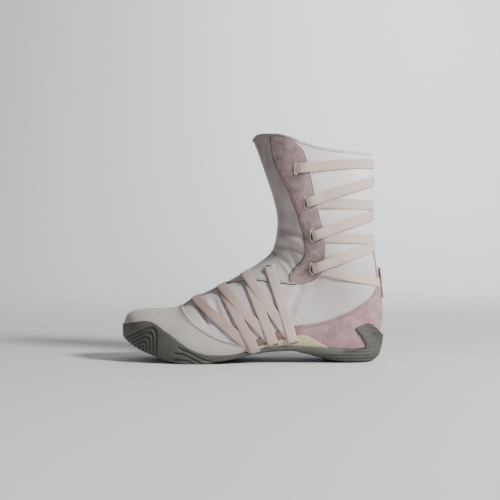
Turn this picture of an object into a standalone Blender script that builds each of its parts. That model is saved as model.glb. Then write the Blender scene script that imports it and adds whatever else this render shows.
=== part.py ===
"""High-top boxing boot, left foot, standing empty on its sole.

The toe points along -X, the outer (little toe) side is -Y and +Z is up.
Every piece is worked out from one surface, the skin of the last: a row of
cross-sections that starts at the toe, tilts round the heel and climbs the shaft.
"""

import math

import bmesh
import bpy
import numpy as np

# Driving sizes, in metres.
LENGTH = 0.267
HEIGHT = 0.2295
BALL_WIDTH = 0.094
WALL = 0.0018
GAP = 0.0003
LEATHER = 0.0012
SUEDE = 0.0013
PLATE = 0.0020
SOLE_GAP = 0.0008
SOLE_RIM = 0.0029
SOLE_SIDE = 0.0034
RIB_HEIGHT = 0.0007
RIB_FADE = 0.002
INSOLE = 0.0030
BAND_WIDTH = 0.0096
BAND_THICKNESS = 0.0009
TAPE_GAP = 0.0007
CROSSING = 0.0004
BINDING_RISE = 0.0022
SLOT_LENGTH = 0.0112
SLOT_WIDTH = 0.0018
TAB_WIDTH = 0.0130
TAB_THICKNESS = 0.0009
TAB_SWELL = 0.0016

# Cross-sections of the last. x and z are shares of LENGTH and HEIGHT, from the toe tip
# and from the floor. Half widths and lean are shares of BALL_WIDTH. Belly is the share of
# the section's height where it is widest; crown and hull are the powers of the rounded
# outline above and below it.
SECTION_COLUMNS = (
    "low_x low_z top_x top_z outer inner feather_out feather_in lean belly crown hull"
).split()
SECTIONS = [
    (0.013, 0.143, 0.013, 0.143, 0.000, 0.000, 0.000, 0.000, 0.106, 0.50, 2.1, 2.1),
    (0.017, 0.116, 0.016, 0.182, 0.112, 0.102, 0.075, 0.070, 0.103, 0.50, 2.1, 2.1),
    (0.030, 0.099, 0.029, 0.203, 0.205, 0.190, 0.160, 0.148, 0.098, 0.46, 2.2, 2.1),
    (0.058, 0.081, 0.058, 0.215, 0.300, 0.265, 0.255, 0.222, 0.086, 0.41, 2.3, 2.1),
    (0.100, 0.060, 0.100, 0.221, 0.372, 0.327, 0.328, 0.283, 0.071, 0.37, 2.3, 2.1),
    (0.146, 0.045, 0.146, 0.223, 0.418, 0.372, 0.376, 0.330, 0.056, 0.34, 2.3, 2.1),
    (0.196, 0.030, 0.188, 0.226, 0.448, 0.405, 0.406, 0.364, 0.041, 0.33, 2.3, 2.1),
    (0.249, 0.024, 0.228, 0.236, 0.464, 0.422, 0.424, 0.380, 0.026, 0.33, 2.2, 2.1),
    (0.311, 0.023, 0.274, 0.268, 0.468, 0.420, 0.426, 0.374, 0.014, 0.32, 2.05, 2.1),
    (0.376, 0.028, 0.326, 0.296, 0.460, 0.400, 0.412, 0.340, 0.004, 0.30, 1.95, 2.1),
    (0.444, 0.045, 0.379, 0.326, 0.440, 0.370, 0.386, 0.296, -0.004, 0.28, 1.90, 2.1),
    (0.513, 0.065, 0.429, 0.358, 0.417, 0.343, 0.358, 0.260, -0.009, 0.27, 1.86, 2.1),
    (0.586, 0.079, 0.473, 0.387, 0.395, 0.328, 0.332, 0.245, -0.014, 0.27, 1.86, 2.1),
    (0.662, 0.079, 0.509, 0.412, 0.375, 0.323, 0.312, 0.248, -0.014, 0.27, 1.88, 2.1),
    (0.742, 0.072, 0.540, 0.437, 0.358, 0.325, 0.300, 0.262, -0.014, 0.28, 1.92, 2.1),
    (0.823, 0.063, 0.561, 0.457, 0.346, 0.330, 0.284, 0.268, -0.014, 0.30, 1.96, 2.1),
    (0.892, 0.057, 0.576, 0.477, 0.340, 0.334, 0.250, 0.244, -0.014, 0.33, 2.0, 2.1),
    (0.944, 0.070, 0.585, 0.498, 0.338, 0.336, 0.178, 0.176, -0.014, 0.37, 2.0, 2.1),
    (0.970, 0.100, 0.591, 0.520, 0.338, 0.338, 0.000, 0.000, -0.014, 0.41, 2.05, 2.1),
    (0.983, 0.146, 0.595, 0.544, 0.343, 0.343, 0.000, 0.000, -0.014, 0.44, 2.1, 2.1),
    (0.989, 0.205, 0.598, 0.572, 0.350, 0.350, 0.000, 0.000, -0.014, 0.46, 2.1, 2.1),
    (0.987, 0.271, 0.600, 0.601, 0.356, 0.356, 0.000, 0.000, -0.014, 0.48, 2.1, 2.1),
    (0.978, 0.341, 0.599, 0.633, 0.360, 0.360, 0.000, 0.000, -0.014, 0.49, 2.1, 2.1),
    (0.966, 0.417, 0.594, 0.672, 0.359, 0.359, 0.000, 0.000, -0.014, 0.50, 2.15, 2.1),
    (0.957, 0.492, 0.584, 0.717, 0.356, 0.356, 0.000, 0.000, -0.014, 0.50, 2.15, 2.1),
    (0.953, 0.577, 0.570, 0.768, 0.354, 0.354, 0.000, 0.000, -0.014, 0.50, 2.15, 2.1),
    (0.952, 0.675, 0.552, 0.826, 0.354, 0.354, 0.000, 0.000, -0.014, 0.50, 2.1, 2.1),
    (0.952, 0.790, 0.531, 0.893, 0.357, 0.357, 0.000, 0.000, -0.014, 0.50, 2.05, 2.1),
    (0.953, 0.905, 0.507, 0.958, 0.362, 0.362, 0.000, 0.000, -0.014, 0.50, 2.0, 2.1),
]
LAST_ROW = len(SECTIONS) - 1
CLOSED_ROW = 18
MIRRORED = ("outer", "inner", "feather_out", "feather_in")

# Underside of the outsole, below each of the first rows: shares of LENGTH and HEIGHT,
# and the power of its rounded edge. What dips below the floor is planed off flat.
GROUND_COLUMNS = "x z edge".split()
GROUND = [
    (0.0005, 0.130, 2.0),
    (0.005, 0.097, 2.1),
    (0.024, 0.080, 2.2),
    (0.055, 0.060, 2.4),
    (0.100, 0.037, 2.7),
    (0.146, 0.019, 3.0),
    (0.196, 0.002, 3.4),
    (0.249, -0.009, 3.8),
    (0.311, -0.010, 4.0),
    (0.376, 0.002, 3.8),
    (0.444, 0.022, 3.6),
    (0.513, 0.043, 3.4),
    (0.586, 0.055, 3.4),
    (0.662, 0.052, 3.4),
    (0.748, 0.022, 3.4),
    (0.836, -0.007, 3.4),
    (0.921, -0.009, 3.2),
    (0.972, 0.016, 2.5),
    (0.991, 0.056, 2.2),
    (0.9985, 0.110, 2.1),
    (0.9985, 0.180, 2.1),
]

# How far the collar's edge stands above a straight line from back to front: share of the
# way to the front, and share of HEIGHT.
COLLAR_RISE = [
    (0.0, 0.0),
    (0.3, -0.007),
    (0.5, -0.001),
    (0.6, 0.014),
    (0.7, 0.029),
    (0.8, 0.038),
    (0.93, 0.034),
    (1.0, 0.010),
]
RISE_ROWS = 6.0

# Outlines seen from the side, in shares of LENGTH and HEIGHT.
SOLE_TOP_EDGE = [
    (0.000, 0.161),
    (0.036, 0.170),
    (0.076, 0.181),
    (0.102, 0.184),
    (0.128, 0.179),
    (0.150, 0.165),
    (0.172, 0.146),
    (0.204, 0.122),
    (0.240, 0.090),
    (0.275, 0.063),
    (0.310, 0.046),
    (0.345, 0.038),
    (0.415, 0.036),
    (0.450, 0.037),
    (0.480, 0.042),
    (0.510, 0.050),
    (0.550, 0.060),
    (0.590, 0.066),
    (0.642, 0.063),
    (0.720, 0.052),
    (0.800, 0.046),
    (0.832, 0.049),
    (0.869, 0.055),
    (0.900, 0.060),
]
HEEL_HOOK = [
    (0.918, 0.064),
    (0.926, 0.080),
    (0.918, 0.100),
    (0.904, 0.116),
    (0.883, 0.140),
    (0.900, 0.158),
    (0.926, 0.169),
    (0.947, 0.167),
    (0.962, 0.152),
    (0.979, 0.131),
    (1.000, 0.112),
]
PLATE_TOP_EDGE = [
    (0.415, 0.036),
    (0.435, 0.043),
    (0.487, 0.064),
    (0.531, 0.083),
    (0.565, 0.094),
    (0.600, 0.105),
    (0.635, 0.114),
    (0.663, 0.122),
    (0.681, 0.126),
    (0.707, 0.117),
    (0.746, 0.091),
    (0.772, 0.070),
    (0.800, 0.046),
]
CAP_EDGE = [
    (0.222, 0.262),
    (0.238, 0.237),
    (0.258, 0.206),
    (0.290, 0.169),
    (0.326, 0.141),
    (0.364, 0.118),
    (0.403, 0.100),
    (0.455, 0.086),
]
INSTEP_EDGE = [
    (0.238, 0.253),
    (0.270, 0.275),
    (0.310, 0.294),
    (0.350, 0.310),
    (0.400, 0.338),
    (0.440, 0.350),
    (0.500, 0.356),
    (0.570, 0.350),
    (0.626, 0.342),
]
INSTEP_TOP_EDGE = [
    (0.560, 0.500),
    (0.585, 0.480),
    (0.620, 0.458),
    (0.648, 0.432),
]
FRONT_SEAM = [
    (0.570, 0.970),
    (0.573, 0.935),
    (0.584, 0.866),
    (0.607, 0.814),
    (0.630, 0.758),
    (0.652, 0.690),
    (0.675, 0.610),
    (0.690, 0.545),
    (0.696, 0.490),
    (0.688, 0.450),
    (0.665, 0.420),
]
EYESTAY_FOOT = [
    (0.648, 0.395),
    (0.637, 0.372),
    (0.641, 0.350),
    (0.665, 0.343),
    (0.700, 0.348),
    (0.735, 0.362),
    (0.757, 0.388),
]
EYESTAY_BACK_EDGE = [
    (0.768, 0.445),
    (0.768, 0.510),
    (0.764, 0.560),
    (0.750, 0.630),
    (0.737, 0.690),
    (0.727, 0.750),
    (0.716, 0.812),
    (0.704, 0.868),
    (0.690, 0.915),
    (0.665, 0.948),
    (0.625, 0.975),
]
COUNTER_TOP_EDGE = [
    (0.500, 0.100),
    (0.560, 0.128),
    (0.620, 0.152),
    (0.670, 0.166),
    (0.720, 0.172),
    (0.770, 0.185),
    (0.820, 0.206),
    (0.865, 0.228),
    (0.905, 0.256),
    (0.940, 0.292),
    (0.956, 0.330),
    (0.958, 0.400),
    (0.950, 0.480),
]

# Lacing. Slots of the shaft, top to bottom, seen from the side, and the heights at which
# the elastic crosses the back: a straight bar and the slanting run below it, in turn.
SHAFT_SLOTS = [(0.660, 0.838), (0.700, 0.690), (0.723, 0.546), (0.723, 0.406)]
BAR_HEIGHTS_AT_BACK = [0.868, 0.684, 0.532, 0.350]
SLANT_HEIGHTS_AT_BACK = [0.792, 0.644, 0.506]
# Slots of the instep: row along the boot, and share of the way round from the ridge.
INSTEP_SLOTS = [(8.25, 0.05), (10.1, 0.06), (12.0, 0.07), (14.3, 0.145)]
# Where the elastic turns on the arch plate, front to back, seen from the side.
PLATE_TURNS = [(0.512, 0.070), (0.575, 0.098), (0.648, 0.096)]
# Way the shaft's slots run, and how far behind a slot the elastic comes out again from
# under the eyestay, both seen from the side.
SHAFT_SLOT_WAY = (0.12, 1.0)
SLOT_RETURN = (0.030, -0.004)
# Rows between which the shaft's and the instep's tapes lie, and those of the pull tab.
SHAFT_TAPE_ROWS = (17.0, float(LAST_ROW))
INSTEP_TAPE_ROWS = (6.0, 17.0)
TAB_ROWS = (21.05, 22.9)

# Rows and columns of the grid that upper and overlays share, so that they stay parallel.
GRID_ROWS = np.array(
    [0, 0.45, 1.1, 2, 3, 4.1, 5.3, 6.5, 7.7, 9, 10.3, 11.6, 12.9, 14.1, 15.1]
    + [16, 16.8, 17.4, 18, 19, 20.2, 21.6, 23.2, 25, 26.6, 28]
)
HALF_COLUMNS = np.array([0.0, 0.09, 0.19, 0.29, 0.4, 0.5, 0.62, 0.74, 0.86, 1.0])
GRID_COLUMNS = np.concatenate([-HALF_COLUMNS[:0:-1], HALF_COLUMNS])
# Turns between those columns where a tape needs one more bend.
EXTRA_BREAKS = (0.80, 0.93)

# First and last row from which each panel is cut.
PANEL_ROWS = {
    "toe_cap": (0.0, 12.9),
    "instep_panel": (4.1, 23.2),
    "shaft_front": (10.3, float(LAST_ROW)),
    "eyestay": (10.3, float(LAST_ROW)),
    "heel_counter": (9.0, 25.0),
}

# Sole and plate: the turns at which their wall starts and ends, their columns (0 to 1 down
# the wall, 1 to 2 under the foot), their last rows, and the power that rounds the plate.
WALL_TOP = 0.19
WALL_FOOT = 0.90
WALL_COLUMNS = (HALF_COLUMNS[HALF_COLUMNS >= WALL_TOP] - WALL_TOP) / (1 - WALL_TOP)
RIB_COLUMNS = np.array([*WALL_COLUMNS, 1.08, 1.16, 1.26, 1.42, 1.65, 2.0])
PLATE_COLUMNS = np.array([0.0, *WALL_COLUMNS[4:], 1.3, 2.0])
FLAT_COLUMNS = 3
SOLE_END_ROW = 20.2
PLATE_END_ROW = 17.4
UNDER_ROUNDING = 0.8

# Half width of the cutters that go right across the boot, and a height above the collar.
BEYOND = 0.3
ABOVE = HEIGHT * 1.2


def section_at(row):
    """Each column of SECTIONS at fractional row numbers, by Catmull-Rom interpolation.

    Before the toe tip the table is mirrored, so that the toe closes round; past the
    collar it goes straight on."""
    table = np.array(SECTIONS)
    ghost = table[1].copy()
    names = {name: number for number, name in enumerate(SECTION_COLUMNS)}
    for low, top in (("low_x", "top_x"), ("low_z", "top_z")):
        ghost[names[low]] = table[1][names[top]]
        ghost[names[top]] = table[1][names[low]]
    for name in MIRRORED:
        ghost[names[name]] *= -1
    found = catmull_rom(np.vstack([ghost, table, 2 * table[-1] - table[-2]]), row)
    for name in MIRRORED:
        found[..., names[name]] = np.maximum(found[..., names[name]], 0)
    return {name: found[..., number] for name, number in names.items()}


def catmull_rom(points, place):
    """The curve through points[1:-1] at fractional places counted from the second point."""
    place = np.clip(np.asarray(place, float), 0, len(points) - 3)
    start = np.minimum(place.astype(int), len(points) - 4)
    t = (place - start)[..., None]
    before, here, there, after = (points[start + step] for step in range(4))
    return 0.5 * (
        2 * here
        + (there - before) * t
        + (2 * before - 5 * here + 4 * there - after) * t**2
        + (3 * here - before - 3 * there + after) * t**3
    )


def smooth_line(points, steps=2):
    """A smooth curve through a short list of points, with several steps to each span."""
    points = np.array(points, float)
    ends = np.vstack([2 * points[0] - points[1], points, 2 * points[-1] - points[-2]])
    return catmull_rom(ends, np.linspace(0, len(points) - 1, (len(points) - 1) * steps + 1))


def side_view(points, steps=2):
    """An outline given in shares, as (x, z) in metres."""
    return smooth_line(points, steps) * (LENGTH, HEIGHT) - (LENGTH / 2, 0)


def collar_rise(share, row):
    """Height added near the collar, so that its edge is not a straight line."""
    table = np.array(COLLAR_RISE)
    fade = np.clip(1 - (LAST_ROW - row) / RISE_ROWS, 0, 1) ** 2
    return np.interp(share, table[:, 0], table[:, 1]) * HEIGHT * fade


def skin(row, around):
    """A point of the last's surface.

    row runs from the toe tip to the collar. around is 0 on the ridge, 0.5 where the
    section is widest and 1 at the sole's edge or the back seam, negative on the outer
    side. Each half section is a quarter superellipse above its widest point and
    another below it."""
    row, around = np.broadcast_arrays(np.asarray(row, float), np.asarray(around, float))
    s = section_at(row)
    turn = np.abs(around)
    widest = np.where(around < 0, s["outer"], s["inner"])
    feather = np.where(around < 0, s["feather_out"], s["feather_in"])
    upper = np.clip(turn, 0, 0.5) * math.pi
    lower = np.clip(turn - 0.5, 0, 0.5) * math.pi
    crown, hull = 2 / s["crown"], 2 / s["hull"]
    above = turn <= 0.5
    sin_u, cos_u = np.sin(upper) ** crown, np.clip(np.cos(upper), 0, 1) ** crown
    sin_l, cos_l = np.sin(lower) ** hull, np.clip(np.cos(lower), 0, 1) ** hull
    half = np.where(above, widest * sin_u, feather + (widest - feather) * cos_l)
    share = np.where(above, s["belly"] + (1 - s["belly"]) * cos_u, s["belly"] * (1 - sin_l))
    x = (s["low_x"] + (s["top_x"] - s["low_x"]) * share - 0.5) * LENGTH
    z = (s["low_z"] + (s["top_z"] - s["low_z"]) * share) * HEIGHT + collar_rise(share, row)
    y = (s["lean"] + np.sign(around) * half) * BALL_WIDTH
    return np.stack([x, y, z], -1)


def directions(row, around):
    """Unit vectors along the rows, round the section and straight out of the surface."""
    step = 0.02
    row = np.clip(row, 3 * step, LAST_ROW)
    ahead = skin(np.minimum(row + step, LAST_ROW), around)
    along = ahead - skin(row - step, around)
    ahead, behind = (np.clip(around + half, -1, 1) for half in (step / 2, -step / 2))
    turn = skin(row, ahead) - skin(row, behind)
    return [unit(vector) for vector in (along, turn, np.cross(along, turn))]


def unit(vectors):
    """Vectors scaled to length 1, along the last axis; a zero vector stays zero."""
    return vectors / np.maximum(np.linalg.norm(vectors, axis=-1, keepdims=True), 1e-12)


def lifted(row, around, lift):
    """A point of the surface moved straight out of it by lift."""
    row, around, lift = np.broadcast_arrays(row, around, lift)
    return skin(row, around) + directions(row, around)[2] * lift[..., None]


def across_sole(side):
    """The sign, way down the wall and way under the foot (0 to 1 both) of a place.

    side runs from -2 at the outer rim through 0 under the foot to 2 at the inner rim."""
    depth = 2 - np.abs(side)
    return np.where(side < 0, -1.0, 1.0), np.clip(depth, 0, 1), np.clip(depth - 1, 0, 1)


def sole_outside(row, side):
    """A point of the outsole's outer face.

    The wall follows the last; the turn under it is a quarter superellipse down to the
    GROUND line on the sole's middle."""
    table = np.array(GROUND)
    ends = np.vstack([2 * table[0] - table[1], table, 2 * table[-1] - table[-2]])
    ground = catmull_rom(ends, row)
    sign, wall, under = across_sole(side)
    edge = WALL_TOP + (WALL_FOOT - WALL_TOP) * wall
    rim = lifted(row, sign * edge, SOLE_RIM + (SOLE_SIDE - SOLE_RIM) * wall)
    middle_y = section_at(row)["lean"] * BALL_WIDTH
    power = 2 / ground[..., 2]
    inward = np.clip(np.cos(under * math.pi / 2), 0, 1) ** power
    down = np.sin(under * math.pi / 2) ** power
    x = rim[..., 0] + ((ground[..., 0] - 0.5) * LENGTH - rim[..., 0]) * down
    z = rim[..., 2] + (ground[..., 1] * HEIGHT - rim[..., 2]) * down
    y = middle_y + (rim[..., 1] - middle_y) * inward
    return np.stack([x, y, np.maximum(z, 0)], -1)


def sole_inside(row, side, lift):
    """A point a lift off the last: down its side, then flat across under its opening."""
    sign, wall, under = across_sole(side)
    edge = lifted(row, sign * (WALL_TOP + (1 - WALL_TOP) * wall), np.full_like(row, lift))
    s = section_at(row)
    x = (s["low_x"] - 0.5) * LENGTH
    middle = np.stack([x, s["lean"] * BALL_WIDTH, s["low_z"] * HEIGHT - lift], -1)
    return edge + (middle - edge) * under[..., None] ** UNDER_ROUNDING


def sheet(rows, columns, pole=False, seam_from=None, backward=False):
    """Faces of a grid of rows by columns, each cell halved along the same diagonal.

    pole makes the first row one point. From row seam_from on, the last column is the
    first one again. backward takes the other diagonal, for a grid whose columns run
    against those of the grid it lies on."""
    number = np.arange(rows * columns).reshape(rows, columns)
    if pole:
        number[0] = number[0, 0]
    if seam_from is not None:
        number[seam_from:, -1] = number[seam_from:, 0]
    faces = []
    for i in range(rows - 1):
        for j in range(columns - 1):
            a, b, c, d = number[i, j], number[i + 1, j], number[i + 1, j + 1], number[i, j + 1]
            halves = ((a, b, d), (b, c, d)) if backward else ((a, b, c), (a, c, d))
            faces += [[int(n) for n in half] for half in halves if len(set(half)) == 3]
    return faces


def solid_between(name, faces, outside, inside, material):
    """A closed wall from one sheet of faces, placed once outside and once inside."""
    count = len(outside)
    edges = {}
    for face in faces:
        for a, b in zip(face, face[1:] + face[:1]):
            edges[(a, b)] = edges.get((a, b), 0) + 1
    walls = [[b, a, a + count, b + count] for a, b in edges if (b, a) not in edges]
    turned = [[corner + count for corner in reversed(face)] for face in faces]
    return closed_mesh(name, np.vstack([outside, inside]), faces + turned + walls, material)


def closed_mesh(name, points, faces, material):
    """An object from points and faces, with loose points gone and its faces turned out."""
    mesh = bpy.data.meshes.new(name)
    mesh.from_pydata([tuple(p) for p in points], [], faces)
    work = bmesh.new()
    work.from_mesh(mesh)
    bmesh.ops.delete(work, geom=[v for v in work.verts if not v.link_faces], context="VERTS")
    bmesh.ops.recalc_face_normals(work, faces=work.faces)
    if work.calc_volume(signed=True) < 0:
        bmesh.ops.reverse_faces(work, faces=work.faces)
    work.to_mesh(mesh)
    work.free()
    thing = bpy.data.objects.new(name, mesh)
    bpy.context.scene.collection.objects.link(thing)
    if material is not None:
        mesh.materials.append(material)
    return thing


def finish_of(name, colour, roughness):
    """A plain material for one kind of stuff."""
    material = bpy.data.materials.new(name)
    material.use_nodes = True
    shader = material.node_tree.nodes["Principled BSDF"]
    shader.inputs["Base Color"].default_value = (*colour, 1.0)
    shader.inputs["Roughness"].default_value = roughness
    return material


def combine(thing, other, operation):
    """Cuts, joins or trims thing by other, and removes other."""
    modifier = thing.modifiers.new(operation.lower(), "BOOLEAN")
    modifier.operation = operation
    modifier.solver = "EXACT"
    modifier.object = other
    graph = bpy.context.evaluated_depsgraph_get()
    done = bpy.data.meshes.new_from_object(thing.evaluated_get(graph))
    thing.modifiers.clear()
    old, name = thing.data, thing.data.name
    thing.data = done
    bpy.data.meshes.remove(old)
    done.name = name
    bpy.data.objects.remove(other)
    return thing


def prism(outline, low_y, high_y):
    """A side-view outline drawn out along Y, as a cutter."""
    outline = np.array(outline)
    count = len(outline)
    points = [(x, y, z) for y in (low_y, high_y) for x, z in outline]
    around = [[i, (i + 1) % count, (i + 1) % count + count, i + count] for i in range(count)]
    caps = [list(range(count))[::-1], list(range(count, 2 * count))]
    return closed_mesh("cutter", points, around + caps, None)


def shifted(line, distance):
    """A side-view line moved sideways, to its left when followed."""
    step = unit(np.gradient(np.array(line), axis=0))
    return line + np.stack([-step[:, 1], step[:, 0]], 1) * distance


def boot_wall(name, low, high, material, first=0.0, last=float(LAST_ROW)):
    """The whole boot's surface between two lifts, as one wall open at collar and sole."""
    rows = GRID_ROWS[(GRID_ROWS >= first) & (GRID_ROWS <= last)]
    closed = int(np.searchsorted(rows, CLOSED_ROW)) if rows[-1] >= CLOSED_ROW else None
    faces = sheet(len(rows), len(GRID_COLUMNS), pole=rows[0] == 0, seam_from=closed)
    row, around = np.meshgrid(rows, GRID_COLUMNS, indexing="ij")
    outside = lifted(row, around, np.full_like(row, high)).reshape(-1, 3)
    inside = lifted(row, around, np.full_like(row, low)).reshape(-1, 3)
    return solid_between(name, faces, outside, inside, material)


def overlay(name, thickness, outline, material, rows, sides=(-BEYOND, BEYOND)):
    """A panel laid on the upper: a wall of the boot's own form, cut to a side-view outline."""
    panel = boot_wall(name, GAP, GAP + thickness, material, *rows)
    return combine(panel, prism(outline, *sides), "INTERSECT")


def slot_cutter(row, around, along):
    """A thin block through the surface at one place, its length along a side-view direction."""
    place, out = skin(row, around), directions(row, around)[2]
    length = np.array([along[0], 0.0, along[1]])
    length -= out * length.dot(out)
    length /= np.linalg.norm(length)
    width = np.cross(out, length)
    corners = [
        place + length * a * SLOT_LENGTH / 2 + width * b * SLOT_WIDTH / 2 + out * c * 3 * SUEDE
        for a in (-1, 1)
        for b in (-1, 1)
        for c in (-1, 1)
    ]
    faces = [[0, 1, 3, 2], [4, 6, 7, 5], [0, 4, 5, 1], [2, 3, 7, 6], [0, 2, 6, 4], [1, 5, 7, 3]]
    return closed_mesh("cutter", corners, faces, None)


def row_on_line(around, start, end, rows):
    """The row where the surface, at one turn, crosses a straight side-view line."""
    trial = np.linspace(rows[0], rows[1], 160)
    points = skin(trial, np.full_like(trial, around))
    across = (end[0] - start[0]) * (points[:, 2] - start[1])
    across -= (end[1] - start[1]) * (points[:, 0] - start[0])
    order = np.argsort(across)
    return float(np.interp(0.0, across[order], trial[order]))


def turn_at(point, sign, rows):
    """Row and turn of the surface under a side-view point, by search over a fine grid."""
    row, around = np.meshgrid(np.linspace(*rows, 240), np.linspace(0.02, 1, 240), indexing="ij")
    points = skin(row, sign * around)
    away = np.hypot(points[..., 0] - point[0], points[..., 2] - point[1])
    best = np.unravel_index(np.argmin(away), away.shape)
    return row[best], sign * around[best]


def placed(share):
    """A side-view point given in shares, in metres."""
    return np.array(share) * (LENGTH, HEIGHT) - (LENGTH / 2, 0)


def band(name, centre, upward, out, width, material):
    """A flat tape along centre points: upward is its width direction, out its thickness."""
    half = upward * width / 2
    thick = out * BAND_THICKNESS
    ring = np.stack([centre - half, centre + half, centre + half + thick, centre - half + thick], 1)
    count = len(centre)
    faces = [
        [4 * i + j, 4 * i + (j + 1) % 4, 4 * i + 4 + (j + 1) % 4, 4 * i + 4 + j]
        for i in range(count - 1)
        for j in range(4)
    ]
    last = 4 * (count - 1)
    faces += [[3, 2, 1, 0], [last, last + 1, last + 2, last + 3]]
    return closed_mesh(name, ring.reshape(-1, 3), faces, material)


def stations(start, end):
    """Turns from start down to end, breaking where the upper's own facets break."""
    breaks = sorted([*HALF_COLUMNS, *EXTRA_BREAKS])
    return np.array([start, *(c for c in breaks if start + 0.02 < c < end - 0.02), end])


def tape(turns, rows, ground, over, material):
    """A band whose middle follows given turns and rows of the surface.

    ground says how high whatever lies under a place stands; each step of the tape clears
    the highest thing along it. over lifts the runs that cross on top of others."""
    turns, rows = np.array(turns), np.array(rows)
    places = np.arange(len(turns))
    fine = np.linspace(0, len(turns) - 1, 12 * (len(turns) - 1) + 1)
    need = ground(skin(np.interp(fine, places, rows), np.interp(fine, places, turns)))
    lift = np.array([need[np.abs(fine - place) <= 1].max() for place in places]) + TAPE_GAP + over
    centre = lifted(rows, turns, lift)
    out = directions(rows, turns)[2]
    step = np.gradient(centre, axis=0)
    return band("tape", centre, unit(np.cross(out, step)), out, BAND_WIDTH, material)


def height_over(x, line):
    """The height of a side-view line above a length x."""
    order = np.argsort(line[:, 0])
    return np.interp(x, line[order, 0], line[order, 1])


def under_shaft_tape(places):
    """Height of the suede under the shaft's tapes: the eyestays and the strip up the heel."""
    edge, strip = side_view(EYESTAY_BACK_EDGE), side_view(COUNTER_TOP_EDGE)[-6:]
    on_stay = places[:, 0] < np.interp(places[:, 2], edge[:, 1], edge[:, 0]) + BAND_WIDTH / 4
    on_strip = places[:, 0] > np.interp(places[:, 2], strip[:, 1], strip[:, 0]) - BAND_WIDTH / 4
    on_strip &= places[:, 2] < strip[-1, 1] + BAND_WIDTH
    return np.where(on_stay | on_strip, GAP + SUEDE, 0.0)


def under_instep_tape(places):
    """Height of the leather, suede or plate under the tapes of the foot."""
    x, z = places[:, 0], places[:, 2]
    on_panel = z > height_over(x, side_view(INSTEP_EDGE)) - BAND_WIDTH / 4
    on_counter = z < height_over(x, side_view(COUNTER_TOP_EDGE[:6])) + BAND_WIDTH / 4
    on_counter &= x > placed(COUNTER_TOP_EDGE[0])[0] - BAND_WIDTH
    on_plate = z < height_over(x, side_view(PLATE_TOP_EDGE)) + BAND_WIDTH / 3
    height = np.where(on_panel, GAP + LEATHER, 0.0)
    height = np.where(on_counter, GAP + SUEDE, height)
    return np.where(on_plate, GAP + PLATE, height)


def shaft_tape(start, height_at_back, end, over, material):
    """Elastic from a place on the outer side, round the back, to a place on the inner side."""
    rows = SHAFT_TAPE_ROWS
    back = np.array([skin(24.0, 1.0)[0], height_at_back * HEIGHT])
    turns, found = [], []
    for sign, share in ((-1, start), (1, end)):
        place = placed(share)
        _, turn = turn_at(place, sign, rows)
        steps = stations(abs(turn), 1.0)
        line = [row_on_line(sign * t, place, back, rows) for t in steps]
        turns += list(-steps) if sign < 0 else list(steps[::-1][1:])
        found += line if sign < 0 else line[::-1][1:]
    return tape(turns, found, under_shaft_tape, over, material)


def instep_tape(top, foot, sign, over, material):
    """Elastic from a slot near the ridge down one side to a turn on the arch plate."""
    rows = INSTEP_TAPE_ROWS
    start, end = skin(top[0], sign * top[1])[[0, 2]], placed(foot)
    steps = stations(top[1], abs(turn_at(end, sign, rows)[1]))
    found = [row_on_line(sign * t, start, end, rows) for t in steps]
    return tape(sign * steps, found, under_instep_tape, over, material)


def join(pieces, name):
    """Several overlapping bands made one solid."""
    whole = pieces[0]
    for piece in pieces[1:]:
        combine(whole, piece, "UNION")
    whole.name = name
    return whole


def make_upper(fabric):
    """Knitted and lined base of the boot, one wall from toe to collar."""
    return boot_wall("upper", -WALL, 0.0, fabric)


def make_insole(foam):
    """Footbed lying in the opening underneath the upper."""
    rows = GRID_ROWS[(GRID_ROWS > 1.5) & (GRID_ROWS < 17)]
    across = np.linspace(-1, 1, 5)
    row, side = np.meshgrid(rows, across, indexing="ij")
    s = section_at(row)
    half = np.where(side < 0, s["feather_out"], s["feather_in"]) * BALL_WIDTH - 2 * WALL
    half = np.maximum(half, WALL)
    x = (s["low_x"] - 0.5) * LENGTH
    y = s["lean"] * BALL_WIDTH + side * half
    low = np.stack([x, y, s["low_z"] * HEIGHT + GAP], -1).reshape(-1, 3)
    high = low + (0, 0, INSOLE)
    return solid_between("insole", sheet(len(rows), len(across)), high, low, foam)


def sole_form(name, material, inner_lift, outer, last, depths):
    """A cup round the lower boot: outer face given, inner face a lift off the last."""
    rows = GRID_ROWS[GRID_ROWS <= last]
    sides = np.concatenate([depths[:-1] - 2, 2 - depths[::-1]])
    row, side = np.meshgrid(rows, sides, indexing="ij")
    faces = sheet(len(rows), len(sides), pole=True, backward=True)
    outside, inside = outer(row, side), sole_inside(row, side, inner_lift)
    return solid_between(name, faces, outside.reshape(-1, 3), inside.reshape(-1, 3), material)


def make_outsole(rubber, plate_clearance):
    """Rubber cup sole, ribbed along its side, that climbs the toe and hooks up the heel."""

    def ribbed(row, side):
        """The outer face with every second column let in, as the ribs of the side."""
        points = sole_outside(row, side)
        column = np.argmin(np.abs(RIB_COLUMNS[None, None] - (2 - np.abs(side))[..., None]), -1)
        groove = (column % 2 == 1) & (column < len(RIB_COLUMNS) - FLAT_COLUMNS)
        inward = unit(skin(row, np.sign(side) * 0.5) * (1, 0, 1) - points)
        off_floor = np.clip(points[..., 2] / RIB_FADE, 0, 1)
        return points + inward * (groove * RIB_HEIGHT * off_floor)[..., None]

    form = sole_form("outsole", rubber, SOLE_GAP, ribbed, SOLE_END_ROW, RIB_COLUMNS)
    top = side_view(SOLE_TOP_EDGE + HEEL_HOOK)
    below = [(LENGTH, top[-1][1]), (LENGTH, -HEIGHT), (-LENGTH, -HEIGHT), (-LENGTH, top[0][1])]
    outline = [*top, *below]
    combine(form, prism(outline, -BEYOND, BEYOND), "INTERSECT")
    return combine(form, plate_clearance, "DIFFERENCE")


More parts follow.
